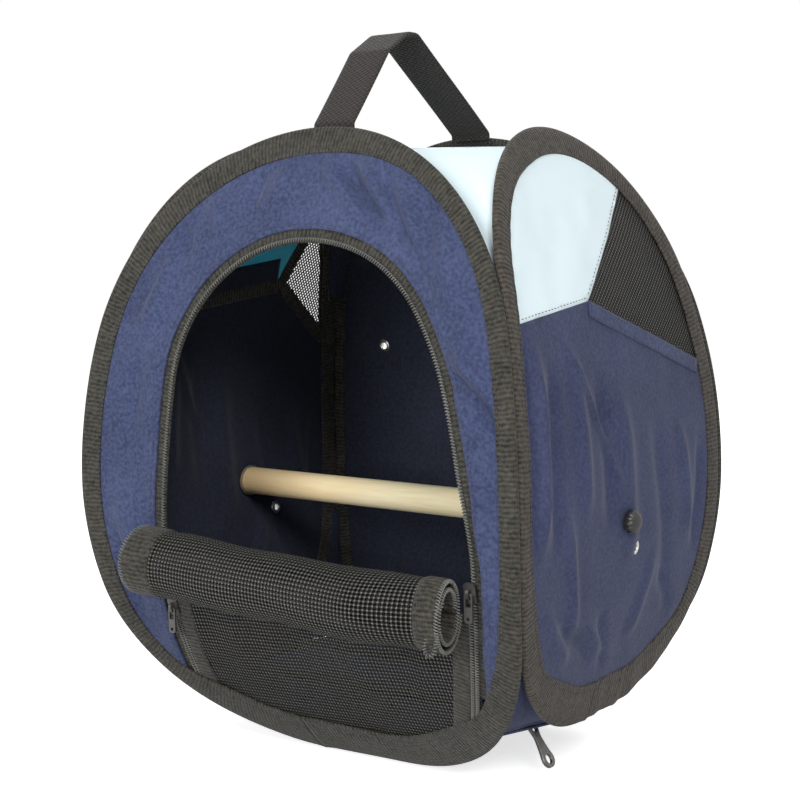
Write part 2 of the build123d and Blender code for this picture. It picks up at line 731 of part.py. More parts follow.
# ---- eyelets ----
def eyelet():
    """Two lips and a barrel, closed round the fabric, centred on its middle."""
    barrel = eyelet_hole - layer_gap
    lip = fabric_thickness / 2
    ring = Cylinder(eyelet_outer / 2, 2 * (lip + eyelet_lip)) - Cylinder(eyelet_bore / 2, 4 * wall)
    waist = Cylinder(eyelet_outer, fabric_thickness) - Cylinder(barrel, fabric_thickness)
    return ring - waist


middle_depth = -(tape_thickness + fabric_thickness / 2)
parts["right_eyelet"] = side_frame(1, right_eyelet_y, right_eyelet_z, middle_depth) * eyelet()
parts["left_eyelet"] = side_frame(-1, left_eyelet_y, left_eyelet_z, middle_depth) * eyelet()
parts["back_eyelet"] = front_frame(1, back_eyelet_x, back_eyelet_z, middle_depth) * eyelet()


# ---- the origin lies on the ground under the middle of everything ----
front_reach = -roll_y + roll_radius
middle_shift = (front_reach - half_depth) / 2
print(f"front and back walls stand {middle_shift:.3f} mm behind the origin")
os.makedirs("parts", exist_ok=True)
for node, shape in parts.items():
    export_step(Pos(0, middle_shift, 0) * shape, f"parts/{node}.step")
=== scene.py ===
"""Looks of a pop-up travel carrier for a pet bird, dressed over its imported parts.

Sizes are in millimetres in the walls' own frame, whose middle is the middle of the cabin;
make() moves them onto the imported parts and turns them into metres.
"""
import json
from math import asin, atan2, cos, pi, radians, sin, sqrt, tan

import bmesh
import bpy
import numpy as np
from mathutils import Matrix, Vector
from mathutils.geometry import delaunay_2d_cdt


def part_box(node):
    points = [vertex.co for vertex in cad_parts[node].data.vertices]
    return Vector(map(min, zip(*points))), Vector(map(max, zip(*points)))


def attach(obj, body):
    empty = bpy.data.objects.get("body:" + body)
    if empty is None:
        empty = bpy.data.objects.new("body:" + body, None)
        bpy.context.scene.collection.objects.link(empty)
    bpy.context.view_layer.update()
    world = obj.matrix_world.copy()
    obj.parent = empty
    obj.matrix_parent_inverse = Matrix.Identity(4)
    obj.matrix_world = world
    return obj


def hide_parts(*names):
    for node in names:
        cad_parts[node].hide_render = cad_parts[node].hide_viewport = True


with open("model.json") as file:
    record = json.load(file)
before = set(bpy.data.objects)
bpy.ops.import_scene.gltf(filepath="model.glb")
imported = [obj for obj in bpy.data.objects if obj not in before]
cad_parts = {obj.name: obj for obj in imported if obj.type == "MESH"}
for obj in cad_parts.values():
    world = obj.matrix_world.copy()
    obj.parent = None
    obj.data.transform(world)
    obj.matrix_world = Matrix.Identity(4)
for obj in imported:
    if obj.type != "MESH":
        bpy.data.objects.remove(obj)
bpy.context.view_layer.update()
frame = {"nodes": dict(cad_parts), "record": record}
MM = 0.001

# ---- walls, as built ----
height = 330.0
widest_height = 146.5
half_width, half_depth = 135.0, 113.0
front_tucks = (42.5, 66.5)      # lean at the crown and at the ground
side_tucks = (47.5, 31.0)
wall_thickness = 4.0
side_inset = wall_thickness + 0.3
side_top, side_bottom = 328.0, 28.0
rest_flat, side_flat = 50.0, 30.0
binding_width = 14.0
binding_seat = 13.4             # tapes that end under the binding reach this far from the outline
middle_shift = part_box("back_binding")[1].y / MM - half_depth

# ---- door ----
door_top, door_apex_x = 273.0, 3.0
left_crown, left_lean = 74.0, radians(5.2)
right_crown, right_radius = 98.0, 235.0
door_widest_height = 130.0
fabric_setback = 6.6
zip_tape_width, zip_tape_middle = 11.0, 5.5
net_setback = 11.2              # edge of the lower net from the zip line
door_fold_height = 100.0
coil_reach = 1.9                # across one half of the zip's coil
coil_pitch, coil_wire = 1.5, 0.3
coil_points_per_turn = 10
jamb_drawn_in = 4.0             # the cloth pulls the right jamb towards the middle
jamb_low, jamb_high, jamb_fade = 122, 272, 50

# ---- net ----
net_pitch, net_strand, net_thickness = 2.0, 0.66, 0.4

# ---- perch, eyelets and floor ----
perch_height = 130.5
perch_right_y, perch_left_y = -3.0, 20.0
eyelet_hole, screw_hole = 2.6, 2.5
floor_height = 31.0
sheet_thickness = 1.2


# ---- geometry of the walls ----
def smooth(t):
    """0 to 1 with soft ends."""
    t = np.clip(t, 0, 1)
    return t * t * (3 - 2 * t)


def bow_radius(drop, tuck):
    """Radius of an arc that leans in by tuck over a drop."""
    return (drop ** 2 + tuck ** 2) / (2 * tuck)


def bow_radii(tucks):
    """Radii of a wall above and below its widest height."""
    return bow_radius(height - widest_height, tucks[0]), bow_radius(widest_height, tucks[1])


front_up, front_down = bow_radii(front_tucks)
side_up, side_down = bow_radii(side_tucks)


class Wall:
    """A bowed wall. u runs across it, z up, and depth inwards along its normal."""

    def __init__(self, half, up, down, along, out):
        self.half, self.up, self.down = half, up, down
        self.along, self.out = np.array(along, float), np.array(out, float)

    def points(self, u, z, depth):
        u, z, depth = np.broadcast_arrays(np.asarray(u, float), z, depth)
        radius = np.where(z > widest_height, self.up, self.down)
        rise = (z - widest_height) / radius
        level = np.sqrt(1 - rise ** 2)
        reach = self.half - radius * (1 - level) - depth * level
        up = z - depth * rise
        return (u[..., None] * self.along + reach[..., None] * self.out
                + up[..., None] * np.array((0.0, 0.0, 1.0)))

    def at(self, z, depth=0.0):
        """Distance of the wall's face from the middle plane at height z."""
        radius = (self.up if z > widest_height else self.down) - depth
        return self.half - depth - radius + sqrt(radius ** 2 - (z - widest_height) ** 2)


front = Wall(half_depth, front_up, front_down, (1, 0, 0), (0, -1, 0))
back = Wall(half_depth, front_up, front_down, (1, 0, 0), (0, 1, 0))
right = Wall(half_width, side_up, side_down, (0, 1, 0), (1, 0, 0))
left = Wall(half_width, side_up, side_down, (0, 1, 0), (-1, 0, 0))


def round_about(angles):
    """Unit directions at angles in a plane."""
    return np.stack([np.cos(angles), np.sin(angles)], 1)


def arc_points(centre, radius, start, end, step):
    """Points and inward normals along an arc, without its last point."""
    count = max(2, int(abs(end - start) * radius / step))
    angles = np.linspace(start, end, count, endpoint=False)
    outwards = round_about(angles)
    return np.array(centre) + outwards * radius, -outwards


class Hoop:
    """Outline of a wall: crown, two bowed sides and a rounded bottom with a short flat."""

    def __init__(self, half, up, down, top, bottom, flat):
        self.half, self.up, self.down, self.bottom, self.flat = half, up, down, bottom, flat / 2
        rise, fall, inner = top - widest_height, widest_height - bottom, half - flat / 2
        self.crown = (half ** 2 + rise ** 2 - 2 * half * up) / (2 * (rise - up))
        self.base = (inner ** 2 + fall ** 2 - 2 * inner * down) / (2 * (fall - down))
        self.crown_centre = (0.0, top - self.crown)
        self.base_centre = (self.flat, bottom + self.base)
        self.crown_join = atan2(self.crown_centre[1] - widest_height, up - half)
        self.base_join = atan2(self.base_centre[1] - widest_height, self.flat + down - half)

    def outline(self, step=2.5):
        """Closed line of points and inward normals, anticlockwise from the bottom's left end."""
        flat_count = int(2 * self.flat / step)
        flat_u = np.linspace(-self.flat, self.flat, flat_count, endpoint=False)
        flat = (np.stack([flat_u, np.full(flat_count, self.bottom)], 1),
                np.tile((0.0, 1.0), (flat_count, 1)))
        half_side = [(self.base_centre, self.base, -pi / 2, self.base_join),
                     ((self.half - self.down, widest_height), self.down, self.base_join, 0),
                     ((self.half - self.up, widest_height), self.up, 0, self.crown_join)]
        crown = (self.crown_centre, self.crown, self.crown_join, pi - self.crown_join)
        mirrored = [((-c[0], c[1]), r, pi - b, pi - a) for c, r, a, b in reversed(half_side)]
        parts = [flat] + [arc_points(*a, step) for a in [*half_side, crown, *mirrored]]
        return np.concatenate([p for p, _ in parts]), np.concatenate([n for _, n in parts])

    def half_at(self, z, inset=0.0):
        """Half width of the outline at a height, drawn in by the inset."""
        crown_z = self.crown_centre[1] + (self.crown - inset) * sin(self.crown_join)
        base_z = self.base_centre[1] + (self.base - inset) * sin(self.base_join)
        if z > crown_z:
            centre, radius = self.crown_centre, self.crown
        elif z > widest_height:
            centre, radius = (self.half - self.up, widest_height), self.up
        elif z > base_z:
            centre, radius = (self.half - self.down, widest_height), self.down
        else:
            centre, radius = self.base_centre, self.base
        return centre[0] + sqrt(max((radius - inset) ** 2 - (z - centre[1]) ** 2, 0))


front_hoop = Hoop(half_width, side_up, side_down, height, 0.0, rest_flat)
side_hoop = Hoop(half_depth - side_inset, front_up - side_inset, front_down - side_inset,
                 side_top, side_bottom, side_flat)

# ---- zip line of the door ----
left_centre = np.array((door_apex_x, door_top - left_crown))
right_centre = np.array((door_apex_x, door_top - right_crown))
right_join = asin((right_centre[1] - door_widest_height) / (right_radius - right_crown))
side_centre = right_centre + (right_crown - right_radius) * np.array((cos(right_join), sin(right_join)))
left_join = pi - left_lean


def left_zip(z):
    """Place of the straight left zip at a height."""
    start = left_centre + left_crown * np.array((cos(left_join), sin(left_join)))
    return start[0] - (start[1] - z) * tan(left_lean)


def zip_line(low_left, low_right, step=1.5):
    """Points and outward normals from the right zip's foot, over the arch, down to the left foot."""
    foot = asin((low_right - side_centre[1]) / right_radius)
    parts = [arc_points(side_centre, right_radius, foot, right_join, step),
             arc_points(right_centre, right_crown, right_join, pi / 2, step),
             arc_points(left_centre, left_crown, pi / 2, left_join, step)]
    top = left_centre[1] + left_crown * sin(left_join)
    z = np.linspace(top, low_left, max(2, int((top - low_left) / step)))
    straight = np.stack([[left_zip(v) for v in z], z], 1)
    outwards = np.tile((-cos(left_lean), sin(left_lean)), (len(z), 1))
    points = np.concatenate([p for p, _ in parts] + [straight])
    x, z = points.T
    points[:, 0] = x - jamb_drawn_in * (smooth(x / 60) * smooth((z - jamb_low) / jamb_fade)
                                         * smooth((jamb_high - z) / jamb_fade))
    return points, np.concatenate([-n for _, n in parts] + [outwards])


def grid_faces(rows, columns, close_columns=False):
    """Quads over a grid of points, row after row."""
    i, j = np.meshgrid(np.arange(rows - 1), np.arange(columns if close_columns else columns - 1),
                       indexing="ij")
    i, j = i.ravel(), j.ravel()
    j2 = (j + 1) % columns
    return np.stack([i * columns + j, (i + 1) * columns + j, (i + 1) * columns + j2, i * columns + j2], 1)


def added(name, data):
    """A new object in the scene."""
    piece = bpy.data.objects.new(name, data)
    bpy.context.scene.collection.objects.link(piece)
    return piece


def make(name, points, faces, slot, body="carrier", stands_for=(), uv=None, indices=None, finishes=None,
         closed=True):
    """A piece from points in the walls' millimetres. uv is one (across, along) pair a point."""
    placed = (np.asarray(points, float).reshape(-1, 3) + (0, middle_shift, 0)) * MM
    mesh = bpy.data.meshes.new(name)
    mesh.from_pydata(placed.tolist(), [], [list(map(int, f)) for f in faces])
    mesh.polygons.foreach_set("use_smooth", [True] * len(mesh.polygons))
    if uv is not None:
        corner = np.empty(len(mesh.loops), int)
        mesh.loops.foreach_get("vertex_index", corner)
        layer = mesh.uv_layers.new(name="cloth")
        layer.data.foreach_set("uv", (np.asarray(uv, float).reshape(-1, 2)[corner] * MM).ravel())
    for finish in finishes or [slot]:
        mesh.materials.append(materials[finish])
    if indices is not None:
        mesh.polygons.foreach_set("material_index", indices)
    if closed:
        form = bmesh.new()
        form.from_mesh(mesh)
        bmesh.ops.recalc_face_normals(form, faces=form.faces)
        form.to_mesh(mesh)
        form.free()
    mesh.update()
    piece = added(name, mesh)
    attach(piece, body)
    if stands_for:
        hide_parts(*stands_for)
    return piece


def running_length(points):
    """Distance along a line of points, one value a point."""
    steps = np.linalg.norm(np.diff(points, axis=0), axis=1)
    return np.concatenate([[0.0], np.cumsum(steps)])


def capped(rows, columns):
    """Faces of a tube of points, with a cap at each end."""
    ends = [list(range(columns)), list(range(rows * columns - 1, (rows - 1) * columns - 1, -1))]
    return [*grid_faces(rows, columns, True).tolist(), *ends]


def swept(name, wall, line, normals, section, slot, ripple=None, wide=1.0, **made):
    """Band with a closed section of (across, depth) pairs, carried along a line on a wall."""
    across, depth = np.array(section, float).T
    along = running_length(line)
    u = line[:, :1] + normals[:, :1] * across * wide
    z = line[:, 1:] + normals[:, 1:] * across * wide
    d = np.tile(depth, (len(line), 1))
    if ripple is not None:
        d = d - ripple(along[:, None], across[None, :])
    uv = np.stack(np.broadcast_arrays(across[None, :], along[:, None]), -1)
    return make(name, wall.points(u, z, d), capped(*d.shape), slot, uv=uv, **made)


def flat_section(low, high, outer, inner, steps=5, crown=0.0):
    """Section of a flat tape between two edges, its outer face slightly crowned."""
    across = np.linspace(low, high, steps)
    rise = crown * (1 - ((across - (low + high) / 2) / ((high - low) / 2)) ** 2)
    return [*zip(across, outer - rise), *zip(across[::-1], np.full(steps, inner))]


def inside(loop, points):
    """Which points lie inside a closed loop."""
    x, y = points[:, 0], points[:, 1]
    hit = np.zeros(len(points), bool)
    for (x1, y1), (x2, y2) in zip(loop, np.roll(loop, -1, axis=0)):
        if y1 != y2:
            crosses = (y1 > y) != (y2 > y)
            hit ^= crosses & (x < (x2 - x1) * (y - y1) / (y2 - y1) + x1)
    return hit


def clipped(loop, cut):
    """The stretch of a closed loop for which cut(points) holds, as an open line."""
    keep = cut(loop)
    if keep.all():
        return loop
    start = int(np.argmax(~keep))
    rolled, kept = np.roll(loop, -start, axis=0), np.roll(keep, -start)
    return rolled[kept]


def triangulated(loops, spacing):
    """Even triangles over the region inside the first loop and outside the others."""
    def covered(points):
        good = inside(loops[0], points)
        for hole in loops[1:]:
            good &= ~inside(hole, points)
        return good

    low, high = loops[0].min(0), loops[0].max(0)
    rows = []
    for number, z in enumerate(np.arange(low[1], high[1], spacing * sqrt(3) / 2)):
        x = np.arange(low[0] + (number % 2) * spacing / 2, high[0], spacing)
        rows.append(np.stack([x, np.full(len(x), z)], 1))
    field = np.concatenate(rows)
    field = field[covered(field)]
    edge_points = np.concatenate(loops)
    for chunk in np.array_split(edge_points, max(1, len(edge_points) // 200)):
        gaps = np.linalg.norm(field[:, None] - chunk[None], axis=2).min(1)
        field = field[gaps > spacing * 0.45]
    edges, start = [], 0
    for loop in loops:
        count = len(loop)
        edges += [(start + i, start + (i + 1) % count) for i in range(count)]
        start += count
    vertices = [Vector(p) for p in np.concatenate([edge_points, field])]
    out = delaunay_2d_cdt(vertices, edges, [], 0, 1e-5)
    points = np.array([tuple(v) for v in out[0]])
    faces = np.array(out[2])
    return points, faces[covered(points[faces].mean(1))]


def rim_edges(faces):
    """Directed edges that belong to one face only."""
    edges = np.concatenate([faces[:, [0, 1]], faces[:, [1, 2]], faces[:, [2, 0]]])
    known = {tuple(e) for e in edges.tolist()}
    return np.array([e for e in edges.tolist() if (e[1], e[0]) not in known])


def slab(loops, spacing):
    """Flat points, faces of a slab between two layers of them, faces in a layer and the flat area."""
    flat, faces = triangulated(loops, spacing)
    turn = np.cross(flat[faces[:, 1]] - flat[faces[:, 0]], flat[faces[:, 2]] - flat[faces[:, 0]])
    faces[turn < 0] = faces[turn < 0][:, ::-1]
    count, rim = len(flat), rim_edges(faces)
    sides = np.stack([rim[:, 0], rim[:, 0] + count, rim[:, 1] + count, rim[:, 1]], 1)
    both = [*faces.tolist(), *(faces[:, ::-1] + count).tolist(), *sides.tolist()]
    return flat, both, len(faces), np.abs(turn).sum() / 2


def panel(name, wall, loops, outer, inner, slot, relief, spacing, lining, **made):
    """Cloth panel of a wall between two depths, its inner face in the lining's finish."""
    flat, faces, layer, area = slab(loops, spacing)
    u, z = flat.T
    lift = relief(u, z)
    points = np.concatenate([wall.points(u, z, outer - lift), wall.points(u, z, inner - lift)])
    indices = [0] * layer + [1] * layer + [0] * (len(faces) - 2 * layer)
    piece = make(name, points, faces, slot, uv=np.concatenate([flat, flat]), indices=indices,
                 finishes=[slot, lining], **made)
    cloth(flat, area)


def plate(name, loops, thickness, origin, across, along, slot, **made):
    """Stamped metal piece with softened edges, from outline loops in its own plane."""
    flat, faces, _, _ = slab(loops, 1.1)
    out = np.cross(across, along)
    face = origin + flat[:, :1] * across + flat[:, 1:] * along
    piece = make(name, np.concatenate([face + out * thickness / 2, face - out * thickness / 2]), faces, slot,
                 **made)
    edge = piece.modifiers.new("edge", "BEVEL")
    edge.width, edge.segments, edge.limit_method = 0.25 * MM, 2, "ANGLE"
    settle(piece)


def cloth(flat, area):
    """Works out a sheet's width and length from its flat points and flat area, in millimetres, and keeps
    neither; an arch counts as a strip.
    """
    width, length = np.ptp(flat, axis=0)
    if area < 0.35 * width * length:
        width = area / (0.6 * length)


def net_lattice(columns, rows, low_u, low_v):
    """Points and faces of a square net: strands and knots as quads, holes left open."""
    edge = net_strand / 2
    u = np.repeat(low_u + np.arange(columns) * net_pitch, 2) + np.tile((-edge, edge), columns)
    v = np.repeat(low_v + np.arange(rows) * net_pitch, 2) + np.tile((-edge, edge), rows)
    uu, vv = np.meshgrid(u, v, indexing="ij")
    faces = grid_faces(2 * columns, 2 * rows)
    first = faces[:, 0]
    i, j = first // (2 * rows), first % (2 * rows)
    return np.stack([uu.ravel(), vv.ravel()], 1), faces[(i % 2 == 0) | (j % 2 == 0)]


def compact(faces, *points):
    """Faces and points, with only the points that the faces use."""
    used, numbers = np.unique(faces, return_inverse=True)
    return [numbers.reshape(faces.shape), *(each[used] for each in points)]


def thicken(piece, thickness, lined=False):
    """Gives a surface its thickness, as mesh; lined, under its normals and with the next finish inside."""
    solid = piece.modifiers.new("thickness", "SOLIDIFY")
    solid.thickness, solid.offset = thickness * MM, -1 if lined else 0
    if lined:
        solid.material_offset, solid.material_offset_rim = 1, 0
    settle(piece)


def settle(piece):
    """Applies a piece's modifiers."""
    graph = bpy.context.evaluated_depsgraph_get()
    mesh = bpy.data.meshes.new_from_object(piece.evaluated_get(graph))
    piece.modifiers.clear()
    piece.data = mesh


def wall_net(name, wall, loop, depth, turn, relief, **made):
    """Net of a window or the door, its strands turned by an angle on the wall."""
    low, high = loop.min(0), loop.max(0)
    middle, size = (low + high) / 2, np.linalg.norm(high - low)
    count = int(size / net_pitch) + 1
    flat, faces = net_lattice(count, count, -size / 2, -size / 2)
    spin = np.array(((cos(turn), sin(turn)), (-sin(turn), cos(turn))))
    placed = flat @ spin + middle
    keep = inside(loop, placed[faces].mean(1))
    faces, placed, uv = compact(faces[keep], placed, flat)
    points = wall.points(placed[:, 0], placed[:, 1], depth - relief(placed[:, 0], placed[:, 1]))
    piece = make(name, points, faces, "black_net", uv=uv, closed=False, **made)
    thicken(piece, net_thickness)
    x, y = loop.T
    cloth(loop, abs(np.dot(x, np.roll(y, -1)) - np.dot(y, np.roll(x, -1))) / 2)


def directions(points):
    """Unit directions along a line, one a point."""
    ahead = np.gradient(points, axis=0)
    return ahead / np.linalg.norm(ahead, axis=1)[:, None]


def left_of(line):
    """Normals to the left of a flat line."""
    ahead = directions(line)
    return np.stack([-ahead[:, 1], ahead[:, 0]], 1)


def tube(centres, radius, sides=6):
    """Points and faces of a round tube along a smooth open line."""
    centres = np.asarray(centres, float)
    side = np.cross(directions(centres)[0], (0.13, 0.21, 0.97))
    frames = []
    for direction in directions(centres):
        side = side - direction * side.dot(direction)
        side = side / np.linalg.norm(side)
        frames.append((side, np.cross(direction, side)))
    angles = np.linspace(0, 2 * pi, sides, endpoint=False)
    a, b = np.array(frames)[:, 0], np.array(frames)[:, 1]
    ring = (a[:, None] * np.cos(angles)[None, :, None] + b[:, None] * np.sin(angles)[None, :, None]) * radius
    return (centres[:, None] + ring).reshape(-1, 3), capped(len(centres), sides)


def curve_through(corners, step=0.6):
    """Smooth line through points in space."""
    corners = np.array(corners, float)
    padded = np.concatenate([2 * corners[:1] - corners[1:2], corners, 2 * corners[-1:] - corners[-2:-1]])
    points = []
    for a, b, c, d in zip(padded, padded[1:], padded[2:], padded[3:]):
        t = np.linspace(0, 1, 12, endpoint=False)[:, None]
        points.append(0.5 * (2 * b + (c - a) * t + (2 * a - 5 * b + 4 * c - d) * t ** 2
                             + (3 * b - a - 3 * c + d) * t ** 3))
    return resample(np.concatenate([*points, corners[-1:]]), step)


def turned(count):
    """Angles of a helix, one a point."""
    return np.arange(count) * 2 * pi / coil_points_per_turn


def wound(line, radius, pitch):
    """Helix round a line in space."""
    even = resample(line, pitch / coil_points_per_turn)
    ahead = directions(even)
    side = np.cross(ahead, (0.93, 0.2, 0.1))
    side /= np.linalg.norm(side, axis=1)[:, None]
    turns = turned(len(even))[:, None]
    return even + radius * (side * np.cos(turns) + np.cross(ahead, side) * np.sin(turns))


def merged(chunks):
    """Several meshes, each points and faces, as one."""
    points, faces, start = [], [], 0
    for p, f in chunks:
        points.append(p)
        faces += [[i + start for i in face] for face in f]
        start += len(p)
    return np.concatenate(points), faces


def resample(points, step):
    """Evenly spaced points along a line."""
    along = running_length(points)
    count = max(2, int(round(along[-1] / step)) + 1)
    places = np.linspace(0, along[-1], count)
    return np.stack([np.interp(places, along, points[:, k]) for k in range(points.shape[1])], 1)


def stitches(name, line, lifts, spacing=3.2, size=(2.2, 0.55, 0.3), body="carrier"):
    """A row of raised stitches on points in space, with the surface's normals beside them."""
    joined = resample(np.concatenate([line, lifts], 1), spacing)
    centres, normals = joined[:, :3], joined[:, 3:]
    normals = normals / np.linalg.norm(normals, axis=1)[:, None]
    ahead = directions(centres)
    across = np.cross(normals, ahead)
    length, width, rise = (s / 2 for s in size)
    corners = [centres - ahead * length, centres + across * width, centres + ahead * length,
               centres - across * width, centres + normals * 2 * rise]
    points = np.stack(corners, 1).reshape(-1, 3)
    pattern = np.array([(0, 1, 4), (1, 2, 4), (2, 3, 4), (3, 0, 4)])
    base = np.arange(len(centres)) * 5
    faces = (base[:, None, None] + pattern).reshape(-1, 3)
    bottom = base[:, None] + np.array((3, 2, 1, 0))
    make(name, points, [*faces.tolist(), *bottom.tolist()], "thread", body=body)


def no_relief(u, z):
    """Relief of a flat sheet."""
    return 0.0


def wall_stitches(name, wall, line, depth, inwards=False, relief=no_relief, **options):
    """A row of stitches on a wall, raised outwards or inwards."""
    u, z = line.T
    depth = depth - relief(u, z)
    points = wall.points(u, z, depth)
    stitches(name, points, wall.points(u, z, depth + (1 if inwards else -1)) - points, **options)


# ---- relief of the cloth ----
def fold(u, z, start, end, width, rise):
    """A soft ridge (or a valley, with rise below zero) from start to end, fading at both."""
    start, end = np.array(start, float), np.array(end, float)
    run = end - start
    length = np.linalg.norm(run)
    run = run / length
    du, dz = u - start[0], z - start[1]
    t = (du * run[0] + dz * run[1]) / length
    off = (dz * run[0] - du * run[1]) / width
    return rise * np.exp(-off ** 2) * smooth(t / 0.3) * smooth((1 - t) / 0.3)


def swell(u, z, seed, rise):
    """Gentle unevenness from a few crossing waves."""
    draw = np.random.default_rng(seed)
    sizes, total = (70, 38, 21), 0.0
    for size in sizes:
        for _ in range(3):
            turn, phase = draw.uniform(0, pi), draw.uniform(0, 2 * pi)
            total = total + np.sin((u * cos(turn) + z * sin(turn)) * 2 * pi / size + phase) * size
    return rise * total / (3 * sum(sizes))


def relief_of(folds, seed, rise, calm=None):
    """Height of the cloth over a wall: its swell and folds, calmed where stated."""
    def relief(u, z):
        total = swell(u, z, seed, rise)
        for each in folds:
            total = total + fold(u, z, *each)
        return total if calm is None else total * calm(u, z)
    return relief


def nearest(line, u, z, reach=0.0):
    """Distance of points on a wall from a line, less the line's own reach."""
    return (np.hypot(np.ravel(u)[:, None] - line[:, 0], np.ravel(z)[:, None] - line[:, 1]) - reach).min(1)


def off_binding(line, share):
    """For points on a wall, 0 under its binding and 1 well inside it."""
    reach = binding_width * share(line[:, 0], line[:, 1])

    def calm(u, z):
        return smooth((nearest(line, u, z, reach) + 1.5) / 6)
    return calm


def clear_of_tape(line, relief, shallow=1.1, deep=5.1, tape_edge=15.5, fade=7.0, bend=4):
    """The same relief with its valleys kept off the zip's tape, which lies along a line behind the cloth."""
    def limited(u, z):
        deepest = -shallow - (deep - shallow) * smooth((nearest(line, u, z) - tape_edge) / fade)
        return deepest + np.logaddexp(0, bend * (relief(u, z) - deepest)) / bend
    return limited


# ---- materials ----
materials = {}


class Nodes:
    """Short way to lay out the nodes of a material, or of the world."""

    def __init__(self, name, world=None):
        self.name, self.owner = name, world or bpy.data.materials.new(name)
        self.owner.use_nodes = True
        self.tree = self.owner.node_tree
        self.shader = self.tree.nodes.get("Principled BSDF")

    def put(self, value, socket):
        if isinstance(value, bpy.types.NodeSocket):
            self.tree.links.new(value, socket)
        elif value is not None:
            socket.default_value = value

    def math(self, kind, a, b=None, c=None):
        node = self.tree.nodes.new("ShaderNodeMath")
        node.operation = kind
        for value, socket in zip((a, b, c), node.inputs):
            self.put(value, socket)
        return node.outputs[0]

    def add(self, kind, output=0, **inputs):
        node = self.tree.nodes.new("ShaderNode" + kind)
        for key, value in inputs.items():
            self.put(value, node.inputs[key.replace("_", " ")])
        return node.outputs[output]

    def split(self, vector):
        node = self.tree.nodes.new("ShaderNodeSeparateXYZ")
        self.put(vector, node.inputs[0])
        return list(node.outputs)

    def cloth_axes(self):
        place = self.tree.nodes.new("ShaderNodeUVMap")
        place.uv_map = "cloth"
        return self.split(place.outputs[0])[:2]

    def place(self):
        return self.add("TexCoord", 3)

    def sum(self, *pairs):
        """Sum of values, each times its weight."""
        (value, weight), *rest = pairs
        if rest:
            return self.math("MULTIPLY_ADD", value, weight, self.sum(*rest))
        return value if weight == 1 else self.math("MULTIPLY", value, weight)

    def noise(self, scale, detail=2.0, vector=None):
        return self.add("TexNoise", 0, Vector=vector or self.place(), Scale=scale, Detail=detail)

    def contrast(self, value, gain):
        """Stretches a noise about its middle and keeps it from 0 to 1."""
        out = self.math("MULTIPLY_ADD", self.math("SUBTRACT", value, 0.5), gain, 0.5)
        out.node.use_clamp = True
        return out

    def waves(self, position, pitch):
        """0 to 1 and back every pitch along a position, all in metres."""
        turned = self.math("MULTIPLY", position, 2 * pi / pitch)
        return self.math("MULTIPLY_ADD", self.math("SINE", turned), 0.5, 0.5)

    def tint(self, colour, socket):
        self.put(colour if isinstance(colour, bpy.types.NodeSocket) else (*colour, 1.0), socket)

    def blend(self, share, a, b):
        node = self.tree.nodes.new("ShaderNodeMix")
        node.data_type = "RGBA"
        self.put(share, node.inputs[0])
        self.tint(a, node.inputs[6])
        self.tint(b, node.inputs[7])
        return node.outputs[2]

    def bump(self, height, distance):
        return self.add("Bump", Strength=1.0, Distance=distance, Height=height)

    def finish(self, colour, roughness, bump=None, **sockets):
        self.tint(colour, self.shader.inputs["Base Color"])
        self.put(roughness, self.shader.inputs["Roughness"])
        self.put(bump, self.shader.inputs["Normal"])
        for key, value in sockets.items():
            self.shader.inputs[key.replace("_", " ")].default_value = value
        materials[self.name] = self.owner


def twill(name, dark, light, depth=0.00014, cloudy=0.34):
    """Heathered woven polyester: a diagonal rib, a crossing yarn, flecks and a cloudy tone."""
    n = Nodes(name)
    u, v = n.cloth_axes()
    pitch = 0.0011
    rib = n.waves(n.math("ADD", u, v), pitch)
    yarn = n.waves(n.math("SUBTRACT", u, v), pitch * 0.62)
    weave = n.sum((yarn, 0.4), (rib, 0.6))
    fleck = n.contrast(n.noise(560, 5.0), 3.2)
    cloud = n.contrast(n.noise(24, 5.0), 1.9)
    tone = n.sum((weave, 0.2), (fleck, 0.46), (cloud, cloudy))
    rough = n.math("MULTIPLY_ADD", rib, -0.12, 0.88)
    relief = n.sum((fleck, 0.6), (weave, 1))
    n.finish(n.blend(tone, dark, light), rough, n.bump(relief, depth), Sheen_Weight=0.12,
             Sheen_Roughness=0.4, Specular_IOR_Level=0.2)


def ribbed_tape(name, dark, light):
    """Grosgrain: cross ribs that wander, a fine warp and flecked yarns; the strong light and dark of the ribs
    and flecks is partly the tape's own mottle and partly painted rib shade and highlights.
    """
    n = Nodes(name)
    u, v = n.cloth_axes()
    wander = n.math("MULTIPLY", n.noise(170, 2.0), 0.0022)
    rib = n.waves(n.math("ADD", v, wander), 0.0023)
    warp = n.waves(u, 0.0012)
    weave = n.sum((warp, 0.2), (rib, 0.8))
    fleck = n.contrast(n.noise(460, 3.0), 4.0)
    slow = n.contrast(n.noise(90, 4.0), 2.2)
    # partly painted light: rib stripes and strong flecks in the colour stand in for rib shade and highlights
    tone = n.sum((weave, 0.46), (fleck, 0.34), (slow, 0.2))
    n.finish(n.blend(tone, dark, light), 0.88, n.bump(n.sum((fleck, 0.5), (weave, 1)), 0.0004),
             Sheen_Weight=0.1, Specular_IOR_Level=0.2)


